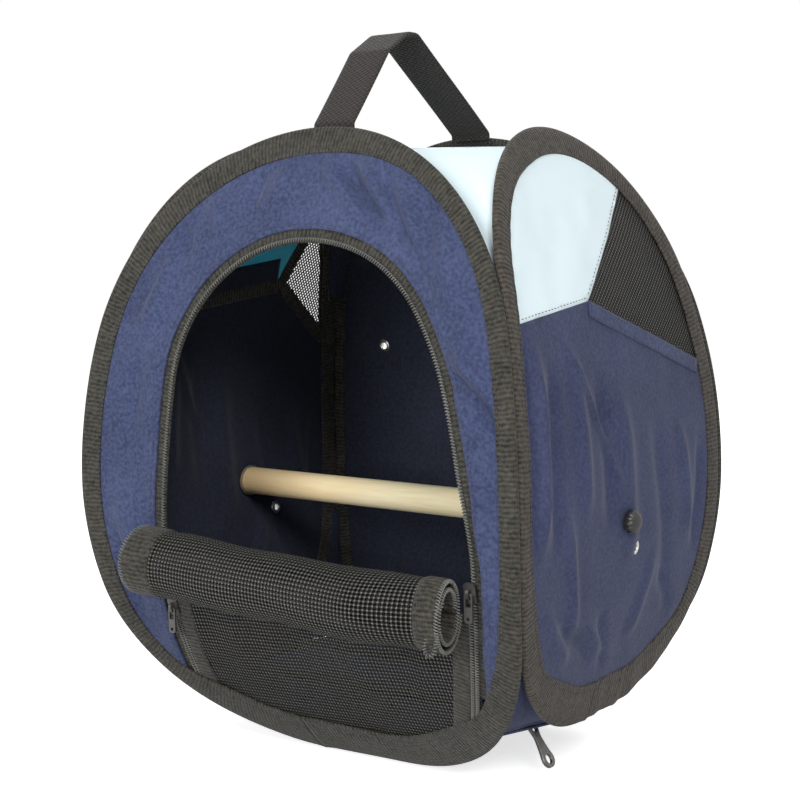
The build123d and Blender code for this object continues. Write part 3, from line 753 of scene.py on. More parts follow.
def netting(name, strand, lit_knot):
    """Knitted net: dark strands, with a pale spot painted on each knot as its highlight; the knots are
    slightly glossy too.
    """
    n = Nodes(name)
    u, v = n.cloth_axes()
    pitch = net_pitch * MM
    near_u = n.math("PINGPONG", u, pitch / 2)
    near_v = n.math("PINGPONG", v, pitch / 2)
    far = n.math("SQRT", n.math("ADD", n.math("POWER", near_u, 2.0), n.math("POWER", near_v, 2.0)))
    # painted highlight: a pale spot at each knot, which also makes the knot glossier and raised
    centre = n.math("SUBTRACT", 1.0, n.math("MULTIPLY", far, 1 / (pitch * 0.3)))
    knot_highlight_spot = n.math("MAXIMUM", centre, 0.0)
    fibre = n.waves(n.math("ADD", u, v), 0.00035)
    n.finish(n.blend(knot_highlight_spot, strand, lit_knot), n.math("MULTIPLY_ADD", knot_highlight_spot, -0.25, 0.7),
             n.bump(n.math("ADD", knot_highlight_spot, fibre), 0.0001), Specular_IOR_Level=0.4)


def plain_weave(name, dark, light, depth=0.0001):
    """Light cloth with a fine square weave."""
    n = Nodes(name)
    u, v = n.cloth_axes()
    over = n.math("MULTIPLY", n.waves(u, 0.0007), n.waves(v, 0.0007))
    tone = n.sum((over, 0.3), (n.noise(18, 4.0), 0.7))
    n.finish(n.blend(tone, dark, light), 0.85, n.bump(over, depth), Sheen_Weight=0.2,
             Specular_IOR_Level=0.25)


def webbing(name, dark, light):
    """Handle webbing: rows of raised knots, each row half a step on; painted light and shade: the knots are
    coloured lighter as lit and the gaps between them darker as shaded.
    """
    n = Nodes(name)
    u, v = n.cloth_axes()
    across = n.math("SINE", n.math("MULTIPLY", u, 2 * pi / 0.0034))
    along = n.math("SINE", n.math("MULTIPLY", v, 2 * pi / 0.0026))
    # painted light and shade: the colour follows the knots, lighter on them and darker in the gaps
    lit_knot = n.contrast(n.math("MULTIPLY_ADD", n.math("MULTIPLY", across, along), 0.5, 0.5), 1.3)
    fleck = n.contrast(n.noise(800, 3.0), 2.4)
    tone = n.sum((lit_knot, 0.66), (fleck, 0.34))
    n.finish(n.blend(tone, dark, light), 0.8, n.bump(n.sum((fleck, 0.3), (lit_knot, 1)), 0.0004),
             Sheen_Weight=0.1, Specular_IOR_Level=0.3)


def metal(name, colour, edge, roughness):
    """Metal with a little grime."""
    n = Nodes(name)
    grime = n.noise(600, 4.0)
    n.finish(n.blend(n.math("MULTIPLY", grime, 0.8), colour, edge),
             n.math("MULTIPLY_ADD", grime, 0.2, roughness), n.bump(grime, 0.00002), Metallic=1.0)


def moulded(name, colour, edge, roughness):
    """Plastic with a fine grain."""
    n = Nodes(name)
    grain = n.noise(1400, 2.0)
    # a random tone between the two colours; for the zip coil the paler one is a painted highlight
    tone = n.noise(60, 3.0)
    n.finish(n.blend(tone, colour, edge), n.math("MULTIPLY_ADD", grain, 0.15, roughness),
             n.bump(grain, 0.00003))


def hardwood(name, pale, warm, streak):
    """Turned dowel: long grain, darker streaks and a warmer left end."""
    n = Nodes(name)
    x, y, z = n.split(n.place())
    stretched = n.add("CombineXYZ", X=n.math("MULTIPLY", x, 0.045), Y=y, Z=z)
    grain = n.noise(420, 6.0, stretched)
    pores = n.noise(1500, 2.0, stretched)
    lean = n.math("MULTIPLY_ADD", x, -9.0, -0.15)
    warmth = n.math("MINIMUM", n.math("MAXIMUM", lean, 0.0), 1.0)
    body = n.blend(warmth, pale, warm)
    colour = n.blend(n.math("MULTIPLY", n.math("POWER", grain, 2.0), 1.1), body, streak)
    n.finish(colour, 0.62, n.bump(n.sum((pores, 0.5), (grain, 1)), 0.00008), Specular_IOR_Level=0.3)


def set_materials():
    """Every finish, under its slot's name; a few of them are no slot."""
    twill("navy_fabric", (0.013, 0.018, 0.052), (0.076, 0.097, 0.192))
    twill("side_navy", (0.017, 0.021, 0.055), (0.062, 0.074, 0.148), depth=0.0001, cloudy=0.4)
    twill("dark_lining", (0.0125, 0.0145, 0.024), (0.036, 0.0415, 0.069), depth=0.0001)
    plain_weave("pale_fabric", (0.72, 0.87, 0.92), (0.82, 0.94, 0.97), depth=0.00006)
    # painted light: the inside of the pale cloth is a bright teal that stands for daylight shining through it
    plain_weave("teal_lining_painted_backlight", (0.07, 0.62, 0.86), (0.12, 0.78, 0.96))
    # the bindings' strong light and dark is partly painted highlights and rib shade
    ribbed_tape("binding_tape", (0.002, 0.002, 0.0015), (0.078, 0.074, 0.06))
    ribbed_tape("side_binding", (0.005, 0.0042, 0.0034), (0.1, 0.087, 0.07))
    # the pale knot colour is a painted highlight
    netting("black_net", (0.011, 0.011, 0.009), (0.24, 0.23, 0.2))
    # the coil's paler tone stands in for the highlights on its turns: painted highlight
    moulded("zip_coil", (0.02, 0.02, 0.018), (0.22, 0.22, 0.195), 0.35)
    metal("zip_metal", (0.22, 0.21, 0.2), (0.08, 0.076, 0.072), 0.38)
    # its lighter knots and darker gaps are painted light and shade
    webbing("webbing", (0.002, 0.0018, 0.0016), (0.04, 0.032, 0.028))
    hardwood("wood", (0.98, 0.9, 0.62), (0.95, 0.68, 0.36), (0.84, 0.6, 0.3))
    moulded("knob_plastic", (0.012, 0.012, 0.012), (0.035, 0.035, 0.032), 0.28)
    metal("screw_steel", (0.6, 0.6, 0.58), (0.4, 0.4, 0.38), 0.35)
    metal("nickel", (0.78, 0.77, 0.74), (0.6, 0.58, 0.54), 0.22)
    metal("spring_steel", (0.5, 0.5, 0.5), (0.35, 0.35, 0.36), 0.35)
    moulded("thread", (0.03, 0.032, 0.06), (0.09, 0.09, 0.13), 0.6)


set_materials()


# ---- bindings ----
def looped(line):
    """A closed line with its first point repeated at the end."""
    return np.concatenate([line, line[:1]])


outer_leaf = [(14.0, 0.95), (13.95, 0.45), (13.6, 0.12), (12.6, 0.05), (11.6, 0.36), (10.6, 0.02),
              (8.6, -0.12), (6.0, -0.32), (3.4, -0.35), (1.6, -0.15), (0.5, 0.5), (0.05, 1.3)]
binding_section = [*outer_leaf, (0.0, 2.0), *[(a, wall_thickness - d) for a, d in reversed(outer_leaf)],
                   (1.4, 3.0), (1.4, 1.0)]
binding_stitch = 11.6
panel_edge = 7.6


def pucker(seed, rise=0.16, wrinkles=()):
    """Unevenness of sewn tape: small puckers, a slow wander and stated wrinkles (place, width, rise)."""
    phases = np.random.default_rng(seed).uniform(0, 2 * pi, 4)

    def ripple(along, across):
        puckers = np.sin(along / 1.9 + 2.2 * np.sin(along / 23 + phases[0]) + phases[1])
        wander = np.sin(along / 11 + phases[2]) + np.sin(along / 29 + phases[3])
        near_seam = np.exp(-((across - binding_stitch) / 3.0) ** 2)
        total = rise * puckers * near_seam + 0.12 * wander
        for place, width, height_there in wrinkles:
            total = total + height_there * np.exp(-((along - place) / width) ** 2)
        return total
    return ripple


def front_share(u, z):
    """Share of its width that the front binding shows: it rolls over at the right, spreads at the ground."""
    rolled_over = smooth((u + 10) / 90) * smooth((z - 40) / 90)
    spread_out = smooth((42 - z) / 34) * (0.75 + 0.25 * smooth((30 - u) / 80))
    return 1 - 0.34 * rolled_over + 0.72 * spread_out


def side_share(u, z):
    """The same for the other bindings: narrower along their front, wider at the ground."""
    rolled_over = smooth((-u - 30) / 50) * smooth((z - 70) / 60)
    return 1 - 0.28 * rolled_over + 0.5 * smooth((64 - z) / 30)


def edge_binding(name, wall, hoop, slot, seed, share, wrinkles=()):
    """A wall's folded binding tape and its two rows of stitches."""
    line, inwards = hoop.outline()
    line, inwards = looped(line), looped(inwards)
    wide = share(line[:, 0], line[:, 1])[:, None]
    end = running_length(line)[-1]
    overlap = [(0, 3.0, 0.5), (end, 3.0, 0.5)]
    ripple = pucker(seed, wrinkles=[*overlap, *wrinkles])
    swept(f"{name}_tape", wall, line, inwards, binding_section, slot, ripple=ripple, wide=wide,
          stands_for=[name])
    seam = line + inwards * binding_stitch * wide
    for face, depth in (("outer", 0.3), ("inner", wall_thickness - 0.3)):
        wall_stitches(f"{name}_{face}_stitches", wall, seam, depth, face == "inner")


edge_binding("front_binding", front, front_hoop, "binding_tape", 1, front_share)
edge_binding("back_binding", back, front_hoop, "binding_tape", 2, side_share)
bottom_wrinkles = [(9, 2.5, 0.5), (17, 3.0, -0.5), (31, 3.0, 0.7), (38, 2.0, -0.5), (47, 4.0, 0.5),
                   (60, 4.0, -0.4), (74, 5.0, 0.4), (95, 5.0, -0.3)]
edge_binding("right_binding", right, side_hoop, "side_binding", 3, side_share, bottom_wrinkles)
edge_binding("left_binding", left, side_hoop, "side_binding", 4, side_share, bottom_wrinkles)

# ---- front and back wall ----
front_line, front_inwards = front_hoop.outline()
under_binding = front_line + front_inwards * panel_edge
binding_inside = front_line + front_inwards * binding_seat
cloth_outer, cloth_inner = 1.05, 2.95
zip_low = 8.0
arch, arch_out = zip_line(zip_low, zip_low)


def door_region(out):
    """Loop round the door, its zip line moved outwards."""
    edge = arch + arch_out * out
    return np.concatenate([edge, [(edge[-1, 0], -30.0), (edge[0, 0], -30.0)]])


def within(loop, line, *others):
    """The points of a line, and of what goes with it, that lie inside a loop."""
    keep = inside(loop, line)
    return [each[keep] for each in (line, *others)]


def circle(centre, radius, count=20):
    """Closed loop round a centre; two radii give an ellipse."""
    angles = np.linspace(0, 2 * pi, count, endpoint=False)
    return np.array(centre) + radius * round_about(angles)


door_hem, = within(under_binding, arch + arch_out * fabric_setback)
outside_door = clipped(under_binding, lambda p: ~inside(door_region(fabric_setback), p))
front_folds = [
    ((17, 314), (54, 277), 3.4, -6.12), ((25, 316), (62, 279), 3.825, 3.96),
    ((6, 314), (40, 280), 4.25, 3.24), ((40, 309), (92, 234), 3.825, -6.84),
    ((50, 308), (100, 228), 4.25, 5.04), ((35, 282), (74, 254), 3.4, -4.68),
    ((33, 308), (70, 268), 3.4, 2.88), ((75, 283), (86, 294), 3.4, -3.96),
    ((64, 296), (106, 216), 3.825, -4.32), ((78, 284), (116, 190), 5.1, 3.96),
    ((96, 214), (132, 180), 3.825, -7.2), ((99, 224), (134, 190), 4.25, 4.68),
    ((123, 170), (126, 96), 4.25, -4.32), ((113, 165), (108, 60), 4.25, 3.24),
    ((-81, 286), (-68, 267), 3.4, -4.32), ((-30, 310), (-34, 290), 3.4, -3.6),
    ((-14, 312), (-20, 288), 5.1, 2.52), ((-62, 296), (-46, 280), 4.25, 2.88),
    ((-76, 272), (-96, 225), 4.25, 3.24), ((-93, 225), (-101, 165), 5.1, -2.52),
    ((-108, 150), (-100, 80), 5.95, 2.88), ((-115, 132), (-106, 70), 4.25, -2.52)
]
front_relief = clear_of_tape(arch, relief_of(front_folds, 11, 0.9, off_binding(front_line, front_share)))
panel("front_panel_cloth", front, [np.concatenate([outside_door, door_hem[::-1]])], cloth_outer,
      cloth_inner, "navy_fabric", front_relief, 2.2, "dark_lining", stands_for=["front_panel"])
wall_stitches("door_hem_stitches", front, door_hem + (arch_out[:len(door_hem)] * 2.4), cloth_outer - 0.1,
              relief=front_relief)

back_eyelet = (-89.0, 207.0)
back_folds = [
    ((-8, 113), (40, 95), 4, 3.2), ((4, 101), (48, 86), 3.5, -3), ((26, 121), (64, 92), 4, 2.8),
    ((-14, 106), (0, 84), 3.5, 2.8), ((-80, 290), (-105, 200), 7, 0.8), ((70, 300), (110, 210), 8, 0.8),
    ((-100, 150), (-90, 60), 7, 0.6), ((100, 140), (96, 60), 7, -0.6), ((-20, 300), (-35, 180), 10, 0.6),
    ((30, 120), (10, 30), 9, 0.6)
]
back_relief = relief_of(back_folds, 12, 0.9, off_binding(front_line, side_share))
panel("back_panel_cloth", back, [under_binding, circle(back_eyelet, eyelet_hole)], cloth_outer,
      cloth_inner, "navy_fabric", back_relief, 3.6, "dark_lining", stands_for=["back_panel"])

# ---- side walls ----
side_line, side_inwards = side_hoop.outline()
side_ring = side_line + side_inwards * panel_edge
side_inside = side_line + side_inwards * binding_seat
hem_width, seam_tape_width = 8.0, 8.0
window_back_z, shoulder_front_z = 198.0, 231.0
net_depth = 2.0
facing_width = 16.0             # dark cloth above the inner seam of a side wall


def strip(name, wall, start, end, low, high, outer, inner, limit, slot, seams=(), **made):
    """Straight tape on a wall between two points, with rows of stitching at stated places across."""
    start, end = np.array(start, float), np.array(end, float)
    length = np.linalg.norm(end - start)
    line = start + (end - start) * np.linspace(0, 1, int(length / 2.5))[:, None]
    line, = within(limit, line)
    ahead = (end - start) / length
    normals = np.tile((-ahead[1], ahead[0]), (len(line), 1))
    swept(name, wall, line, normals, flat_section(low, high, outer, inner, 7, 0.12), slot,
          ripple=pucker(len(line), 0.05), **made)
    for number, across in enumerate(seams):
        wall_stitches(f"{name}_stitches_{number}", wall, line + normals * across, min(outer, inner) - 0.05,
                      outer > 2)


pale_folds = [
    ((-95, 240), (-50, 300), 7, 0.5), ((-60, 238), (-20, 290), 8, -0.5), ((-30, 246), (20, 300), 6, 0.4)
]


def side_wall(name, wall, corner_y, corner_z, slope, eyelet, perch_y, folds, seed):
    """Lower cloth, pale upper cloth, window, hem and inner tapes of one side wall."""
    slope = tan(radians(slope))
    drop = (corner_z - window_back_z) / (front.at(window_back_z) - corner_y)
    rise = (corner_z - shoulder_front_z) / (corner_y + half_depth)

    def lower_edge(y):
        return np.where(y < corner_y, corner_z + rise * (y - corner_y), corner_z - drop * (y - corner_y))

    def edge_points(start, end):
        y = np.linspace(start, end, max(2, int(abs(end - start) / 2.5)))[1:]
        return np.stack([y, lower_edge(y)], 1)

    def seam_points(end_z):
        z = np.linspace(corner_z, end_z, max(2, int((end_z - corner_z) / 2.5)))[1:-1]
        return np.stack([corner_y + (z - corner_z) / slope, z], 1)

    def ahead_of_seam(p):
        return p[:, 0] < corner_y + (p[:, 1] - corner_z) / slope

    corner = np.array([(corner_y, corner_z)])
    low_arc = clipped(side_ring, lambda p: p[:, 1] < lower_edge(p[:, 0]))
    pale_arc = clipped(side_ring, lambda p: (p[:, 1] >= lower_edge(p[:, 0])) & ahead_of_seam(p))
    net_arc = clipped(side_ring, lambda p: (p[:, 1] >= lower_edge(p[:, 0])) & ~ahead_of_seam(p))
    lower_loop = np.concatenate([low_arc, edge_points(low_arc[-1, 0], corner_y),
                                 edge_points(corner_y, low_arc[0, 0])[:-1]])
    upper_loop = np.concatenate([pale_arc, edge_points(pale_arc[-1, 0], corner_y)[:-1], corner,
                                 seam_points(pale_arc[0, 1])])
    net_loop = np.concatenate([net_arc, seam_points(net_arc[-1, 1])[::-1], corner,
                               edge_points(corner_y, net_arc[0, 0])[:-1]])
    holes = [circle(eyelet, eyelet_hole), circle((perch_y, perch_height), screw_hole)]
    relief = relief_of(folds + pale_folds, seed, 0.7, off_binding(side_line, side_share))
    panel(f"{name}_lower_cloth", wall, [lower_loop, *holes], cloth_outer, cloth_inner, "side_navy",
          relief, 2.8, "dark_lining", stands_for=[f"{name}_lower_panel"])
    # inside the pale cloth: bright teal, painted backlight
    panel(f"{name}_upper_cloth", wall, [upper_loop], cloth_outer, cloth_inner, "pale_fabric",
          relief, 3.2, "teal_lining_painted_backlight", stands_for=[f"{name}_upper_panel"])
    wall_net(f"{name}_window_mesh", wall, net_loop, net_depth, radians(35),
             relief_of([], seed + 2, 0.5), stands_for=[f"{name}_window_net"])

    back_y = half_depth + hem_width
    far_back = (back_y, float(lower_edge(np.array(back_y))))
    far_front = (-half_depth, shoulder_front_z)
    run = height - corner_z + hem_width
    seam_top = (corner_y + run / slope, corner_z + run)
    strip(f"{name}_hem_tape", wall, corner[0], far_back, -hem_width, 0, 0.15, 1.0, side_inside,
          "navy_fabric", (-1.6, -6.4), stands_for=[f"{name}_window_hem"])
    strip(f"{name}_facing", wall, far_front, (corner_y - 3, corner_z), 0, facing_width, 3.75, 3.0,
          side_inside, "dark_lining")
    half_tape = seam_tape_width / 2
    for label, start, end, depth in (("front", far_front, corner[0], 3.8), ("top", corner[0], seam_top, 3.85),
                                     ("back", corner[0], far_back, 3.9)):
        strip(f"{name}_seam_tape_{label}", wall, start, end, -half_tape, half_tape, depth, depth - 0.8,
              side_inside, "side_binding", (-3, 3),
              stands_for=[f"{name}_seam_tape"] if label == "front" else ())
    for label, points, shift in (("front", edge_points(corner_y, -half_depth), (0, 1.6)),
                                 ("top", seam_points(height), (-1.6, 1.0))):
        line, = within(side_inside, points)
        wall_stitches(f"{name}_seam_{label}", wall, line + shift, cloth_outer - 0.1, relief=relief)


right_folds = [
    ((-90, 236), (-97, 122), 3.2, -3.38), ((-80, 232), (-88, 118), 4, 3.64),
    ((-68, 226), (-76, 116), 4, -2.6), ((-46, 224), (-46, 128), 5.6, 2.86),
    ((-26, 214), (-18, 118), 6.4, -2.34), ((-6, 206), (6, 100), 6.4, 2.34),
    ((30, 186), (50, 80), 6.4, -2.08), ((58, 182), (74, 104), 4.8, 2.34), ((86, 172), (80, 96), 4, -2.08),
    ((10, 62), (34, 112), 4.8, 2.08), ((-25, 92), (-8, 52), 4, -2.34), ((-84, 100), (-50, 66), 4, 2.86),
    ((-58, 234), (2, 130), 2.4, 2.08), ((-66, 150), (-48, 70), 4, 2.6), ((-70, 92), (-20, 62), 4, -2.6),
    ((-40, 84), (-4, 60), 3.2, 2.08), ((40, 100), (62, 70), 4.8, -1.82)
]
left_folds = [(a, b, w, -r) for a, b, w, r in right_folds]
right_eyelet, left_eyelet = (8.0, 115.0), (44.0, 110.0)
side_wall("right", right, corner_y=-19.5, corner_z=241.0, slope=38.0, eyelet=right_eyelet,
          perch_y=perch_right_y, folds=right_folds, seed=21)
side_wall("left", left, corner_y=40.0, corner_z=248.0, slope=62.0, eyelet=left_eyelet,
          perch_y=perch_left_y, folds=left_folds, seed=31)

# ---- roof, corner gussets and floor ----
roof_inset, roof_start, roof_top = 9.0, 236.0, 317.0
gusset_inset, gusset_low, gusset_top = 6.0, 31.3, 100.0
skirt_reach = 24.0              # the skirt follows the front wall's outline up to this height


def corner_ends(z, inset):
    """Ends of the cloth's level line across the right rear corner: on the side wall, on the back wall."""
    return ((right.at(z, side_inset), side_hoop.half_at(z, inset)),
            (front_hoop.half_at(z, inset), front.at(z, side_inset)))


def corner_patch(z_values, inset, sag, quarter, seed, columns=16):
    """Cloth across one corner, sagging inwards between the two hoops."""
    t = np.linspace(0, 1, columns)
    rows = []
    for share, z in zip(np.linspace(0, 1, len(z_values)), z_values):
        start, end = (np.array(p) for p in corner_ends(z, inset))
        line = start + (end - start) * t[:, None]
        inwards = np.array((-(end - start)[1], (end - start)[0]))
        inwards = inwards / max(np.linalg.norm(inwards), 1e-6) * (1 if inwards.sum() < 0 else -1)
        depth = sag * np.sin(pi * t) * sin(pi * min(max(share, 0.12), 0.88))
        wave = 0.35 * np.sin(t * 19 + seed) * np.sin(z / 6.5 + seed) * np.sin(pi * t)
        moved = line + inwards * (depth + wave)[:, None]
        rows.append(np.column_stack([moved * quarter, np.full(columns, z)]))
    points = np.array(rows)
    return points.reshape(-1, 3), grid_faces(len(z_values), columns).tolist()


facing_y = 60.0                 # behind this the roof is faced with dark cloth inside
quarters = [np.array(q) for q in ((1, 1), (-1, 1), (-1, -1), (1, -1))]


def corner_cloth(name, z_values, inset, sag, slot, seed, lining, cap=None, **made):
    """Cloth across all four corners as one lined piece, with a cap where one is given."""
    chunks = [corner_patch(z_values, inset, sag, q, seed + i) for i, q in enumerate(quarters)]
    if cap is not None:
        chunks.append(cap)
    points, faces = merged(chunks)
    middle = np.array((0.0, 0.0, np.mean(z_values)))
    turned = []
    for face in faces:
        p = points[list(face)]
        normal = np.cross(p[2] - p[0], p[-1] - p[1])
        turned.append(face if normal.dot(p.mean(0) - middle) > 0 else face[::-1])
    uv = np.stack([points[:, 0] + points[:, 1] * 0.6, points[:, 2] + points[:, 1] * 0.8], 1)
    rear = [2 if points[list(face)][:, 1].min() > facing_y else 0 for face in turned]
    piece = make(name, points, turned, slot, uv=uv, closed=False, indices=rear,
                 finishes=[slot, lining, slot, "dark_lining"], **made)
    thicken(piece, sheet_thickness, lined=True)


def roof_cap():
    """Top of the roof between the four crowns, dipping slightly in the middle."""
    start, end = (np.array(p) for p in corner_ends(roof_top, roof_inset))
    corners = []
    for q in quarters:
        pair = [start * q, end * q]
        corners += pair if q[0] * q[1] > 0 else pair[::-1]
    ring = []
    for a, b in zip(corners, corners[1:] + corners[:1]):
        steps = max(2, int(np.linalg.norm(b - a) / 6))
        ring += [a + (b - a) * s / steps for s in range(steps)]
    ring = np.array(ring)
    rows = []
    for share in np.linspace(1, 0.02, 12):
        points = ring * share
        wave = 0.5 * np.sin(points[:, 0] / 11) * np.sin(points[:, 1] / 13) * (1 - share)
        dip = 2.2 * (1 - share ** 2) + wave
        rows.append(np.column_stack([points, roof_top - dip]))
    count = len(ring)
    middle = list(range((len(rows) - 1) * count, len(rows) * count))
    faces = [*grid_faces(len(rows), count, True).tolist(), middle]
    return np.concatenate(rows), faces


roof_levels = roof_top - (roof_top - roof_start) * (1 - np.linspace(0, 1, 26)) ** 1.4
# the roof's inside is the bright teal of painted backlight, with dark cloth behind facing_y
corner_cloth("roof_cloth", roof_levels, roof_inset, sag=2.6, slot="pale_fabric", seed=41,
             lining="teal_lining_painted_backlight", cap=roof_cap(), stands_for=["roof"])
gusset_levels = gusset_low + (gusset_top - gusset_low) * (1 - np.linspace(0, 1, 22)) ** 1.4
corner_cloth("corner_gusset_cloth", gusset_levels[::-1], gusset_inset, sag=1.8, slot="side_navy", seed=51,
             lining="dark_lining", stands_for=["corner_gussets"])


class Level:
    """A level surface, used as a wall: u along X, the other along Y, depth downwards."""

    def __init__(self, z):
        self.z = z

    def points(self, u, v, depth):
        u, v, depth = np.broadcast_arrays(np.asarray(u, float), v, depth)
        return np.stack([u, v, self.z - depth], -1)


def rounded_box(width, depth, radius, count=8):
    """Closed loop of a box with rounded corners."""
    corners = []
    for number, (sx, sy) in enumerate(((1, 1), (-1, 1), (-1, -1), (1, -1))):
        angles = np.linspace(0, pi / 2, count) + number * pi / 2
        centre = np.array((sx * (width / 2 - radius), sy * (depth / 2 - radius)))
        corners.append(centre + radius * round_about(angles))
    return np.concatenate(corners)


def dense(loop, step=4.0):
    """A closed loop with its long edges divided."""
    points = []
    for a, b in zip(loop, np.roll(loop, -1, axis=0)):
        steps = max(1, int(np.linalg.norm(b - a) / step))
        points += [a + (b - a) * s / steps for s in range(steps)]
    return np.array(points)


floor = Level(floor_height)
flap_length, flap_depth, flap_corner, coil_strip = 206.0, 60.0, 8.0, 4.0
hinge_band = 7.0                # the zip stops this far before the hinge
floor_z = floor_height - sheet_thickness
floor_seat = 2.6                # the floor's edges reach into the walls' cloth
floor_corner = [np.array((right.at(floor_z, floor_seat), side_hoop.half_at(floor_z, gusset_inset))),
                np.array((front_hoop.half_at(floor_z, gusset_inset), front.at(floor_z, floor_seat)))]
floor_ring = []
for q in quarters:
    floor_ring += [p * q for p in (floor_corner if q[0] * q[1] > 0 else floor_corner[::-1])]
flap_hole = rounded_box(flap_length, flap_depth, flap_corner)
panel("floor_rim_cloth", floor, [dense(np.array(floor_ring)), dense(flap_hole)], 0.0, sheet_thickness,
      "navy_fabric", no_relief, 5.0, "side_navy", stands_for=["floor_rim"])
foot = clipped(np.concatenate([front_line, front_inwards], 1), lambda p: p[:, 1] < skirt_reach)
swept("floor_skirt", front, foot[:, :2], foot[:, 2:], flat_section(9, 28, 5.3, 6.1, 8), "side_navy",
      ripple=lambda along, across: 0.35 * np.sin(along / 6 + 2 * np.sin(along / 31)))
flap_box = rounded_box(flap_length - 2 * coil_strip, flap_depth - 2 * coil_strip, flap_corner - coil_strip)
hinge_y = flap_depth / 2
zip_end = ((flap_length - coil_strip) / 2, hinge_y - hinge_band)
hinge_half = flap_length / 2 - 2 * coil_strip
flap_loop = np.concatenate([flap_box[flap_box[:, 1] < 0], [(hinge_half + coil_strip, zip_end[1]),
                            (hinge_half, zip_end[1] + 3), (hinge_half, hinge_y), (-hinge_half, hinge_y),
                            (-hinge_half, zip_end[1] + 3), (-hinge_half - coil_strip, zip_end[1])]])
panel("floor_flap_cloth", floor, [dense(flap_loop)], 0.0, sheet_thickness, "navy_fabric", no_relief, 5.0,
      "side_navy", body="flap", stands_for=["floor_flap"])


def zip_turns(name, wall, line, normals, across, depth, reach, rise, wire, pitch, **made):
    """Half of a zip: a flattened helix of wire along a line on a wall."""
    even = resample(np.concatenate([line, normals], 1), pitch / coil_points_per_turn)
    turns = turned(len(even))
    swing = across + reach / 2 * np.cos(turns)
    points = wall.points(even[:, 0] + even[:, 2] * swing, even[:, 1] + even[:, 3] * swing,
                         depth - rise / 2 * np.sin(turns))
    make(name, *tube(points, wire), "zip_coil", **made)


flap_path = rounded_box(flap_length - coil_strip, flap_depth - coil_strip, flap_corner - coil_strip / 2)
flap_path = np.roll(flap_path, -8, axis=0)
flap_line = resample(np.concatenate([[(-zip_end[0], zip_end[1])], flap_path[flap_path[:, 1] < 0],
                                     [zip_end]]), 2.0)
flap_normals = left_of(flap_line)
zip_turns("floor_zip_turns", floor, flap_line, flap_normals, across=0.0, depth=0.6, reach=2.9, rise=1.7,
          wire=0.4, pitch=2.0, body="flap", stands_for=["floor_zip_coil"])
swept("floor_zip_ribbon", floor, flap_line, flap_normals, flat_section(-5, 5, -0.95, -1.6, 5), "binding_tape")
hinge_x = np.linspace(-hinge_half - coil_strip, hinge_half + coil_strip, 80)
hinge_line = np.stack([hinge_x, np.full(len(hinge_x), hinge_y)], 1)
swept("floor_hinge_ribbon", floor, hinge_line, np.tile((0.0, 1.0), (len(hinge_x), 1)),
      flat_section(-4, 5, -0.4, -1.1, 5), "binding_tape")

# ---- door zip and the zipped part of the door ----
door_fold = arch[:, 1] < door_fold_height
tape_line, tape_out = within(binding_inside, arch + arch_out * zip_tape_middle, arch_out)
swept("door_zip_ribbon", front, tape_line - tape_out * zip_tape_middle, tape_out,
      flat_section(0.2, zip_tape_width, 3.05, 3.95, 5), "binding_tape", ripple=pucker(61, 0.04),
      stands_for=["door_zip_tape"])
coil_line, coil_out = within(under_binding, arch, arch_out)
coil_side = 1.25                # middle of one half of the coil from the zip line
door_coil = dict(depth=2.15, reach=coil_reach, rise=1.25, wire=coil_wire, pitch=coil_pitch)
zip_turns("door_zip_turns", front, coil_line, coil_out, coil_side, **door_coil, stands_for=["door_zip_coil"])
wall_stitches("door_coil_seam", front, coil_line + coil_out * 2.9, 2.9, spacing=1.5, size=(1.1, 0.4, 0.25))
for label, number in (("right", 0), ("left", 1)):
    pick = door_fold & ((arch[:, 0] > 0) == (number == 0))
    line, out = within(under_binding, arch[pick], arch_out[pick])
    zip_turns(f"lower_zip_turns_{label}", front, line, out, -coil_side, **door_coil,
              stands_for=["lower_zip_coil"])
    swept(f"door_side_ribbon_{label}", front, line, out, flat_section(-11.4, -2.4, 1.5, 2.45, 7, 0.15),
          "binding_tape", ripple=pucker(62 + number, 0.08), stands_for=["door_side_tape"])
    wall_stitches(f"door_side_seam_{label}", front, line - out * 9.8, 1.4)

net_side = arch - arch_out * net_setback
net_right, = within(under_binding, net_side[door_fold & (arch[:, 0] > 0)])
net_left, = within(under_binding, net_side[door_fold & (arch[:, 0] < 0)])
bottom_arc = clipped(under_binding, lambda p: inside(door_region(-net_setback), p) & (p[:, 1] < 80))
net_loop = np.concatenate([net_right, net_left, bottom_arc])
net_folds = [
    ((-40, 100), (-50, 40), 7, 0.9), ((-10, 102), (-4, 30), 9, -0.8), ((25, 100), (40, 25), 7, 0.9),
    ((60, 102), (56, 40), 8, -0.7), ((78, 95), (66, 45), 5, 0.8), ((-64, 90), (-60, 60), 5, -0.6)
]
wall_net("lower_door_mesh", front, net_loop, net_depth, 0.03, relief_of(net_folds, 63, 0.8),
         stands_for=["lower_door_net"])

# ---- rolled door ----
roll_radius, roll_height, roll_left, roll_right = 18.5, 110.0, -75.5, 103.0
roll_tilt, roll_layer, roll_pitch, roll_half_turns = radians(3.5), 1.8, 3.8, 4
roll_bands = (18.0, 11.0)        # widths of the tape at the left and the right end
roll_y = -front.at(roll_height) - roll_radius - 0.3
roll_middle = 5.5
roll_squash, squash_from, squash_reach = 0.42, 58.0, 45     # the roll is pressed flat towards its right end
turn_radii = [roll_radius - roll_layer / 2 - turn * roll_pitch / 2 for turn in range(roll_half_turns)]
turn_starts = np.concatenate([[0.0], np.cumsum([pi * r for r in turn_radii])])


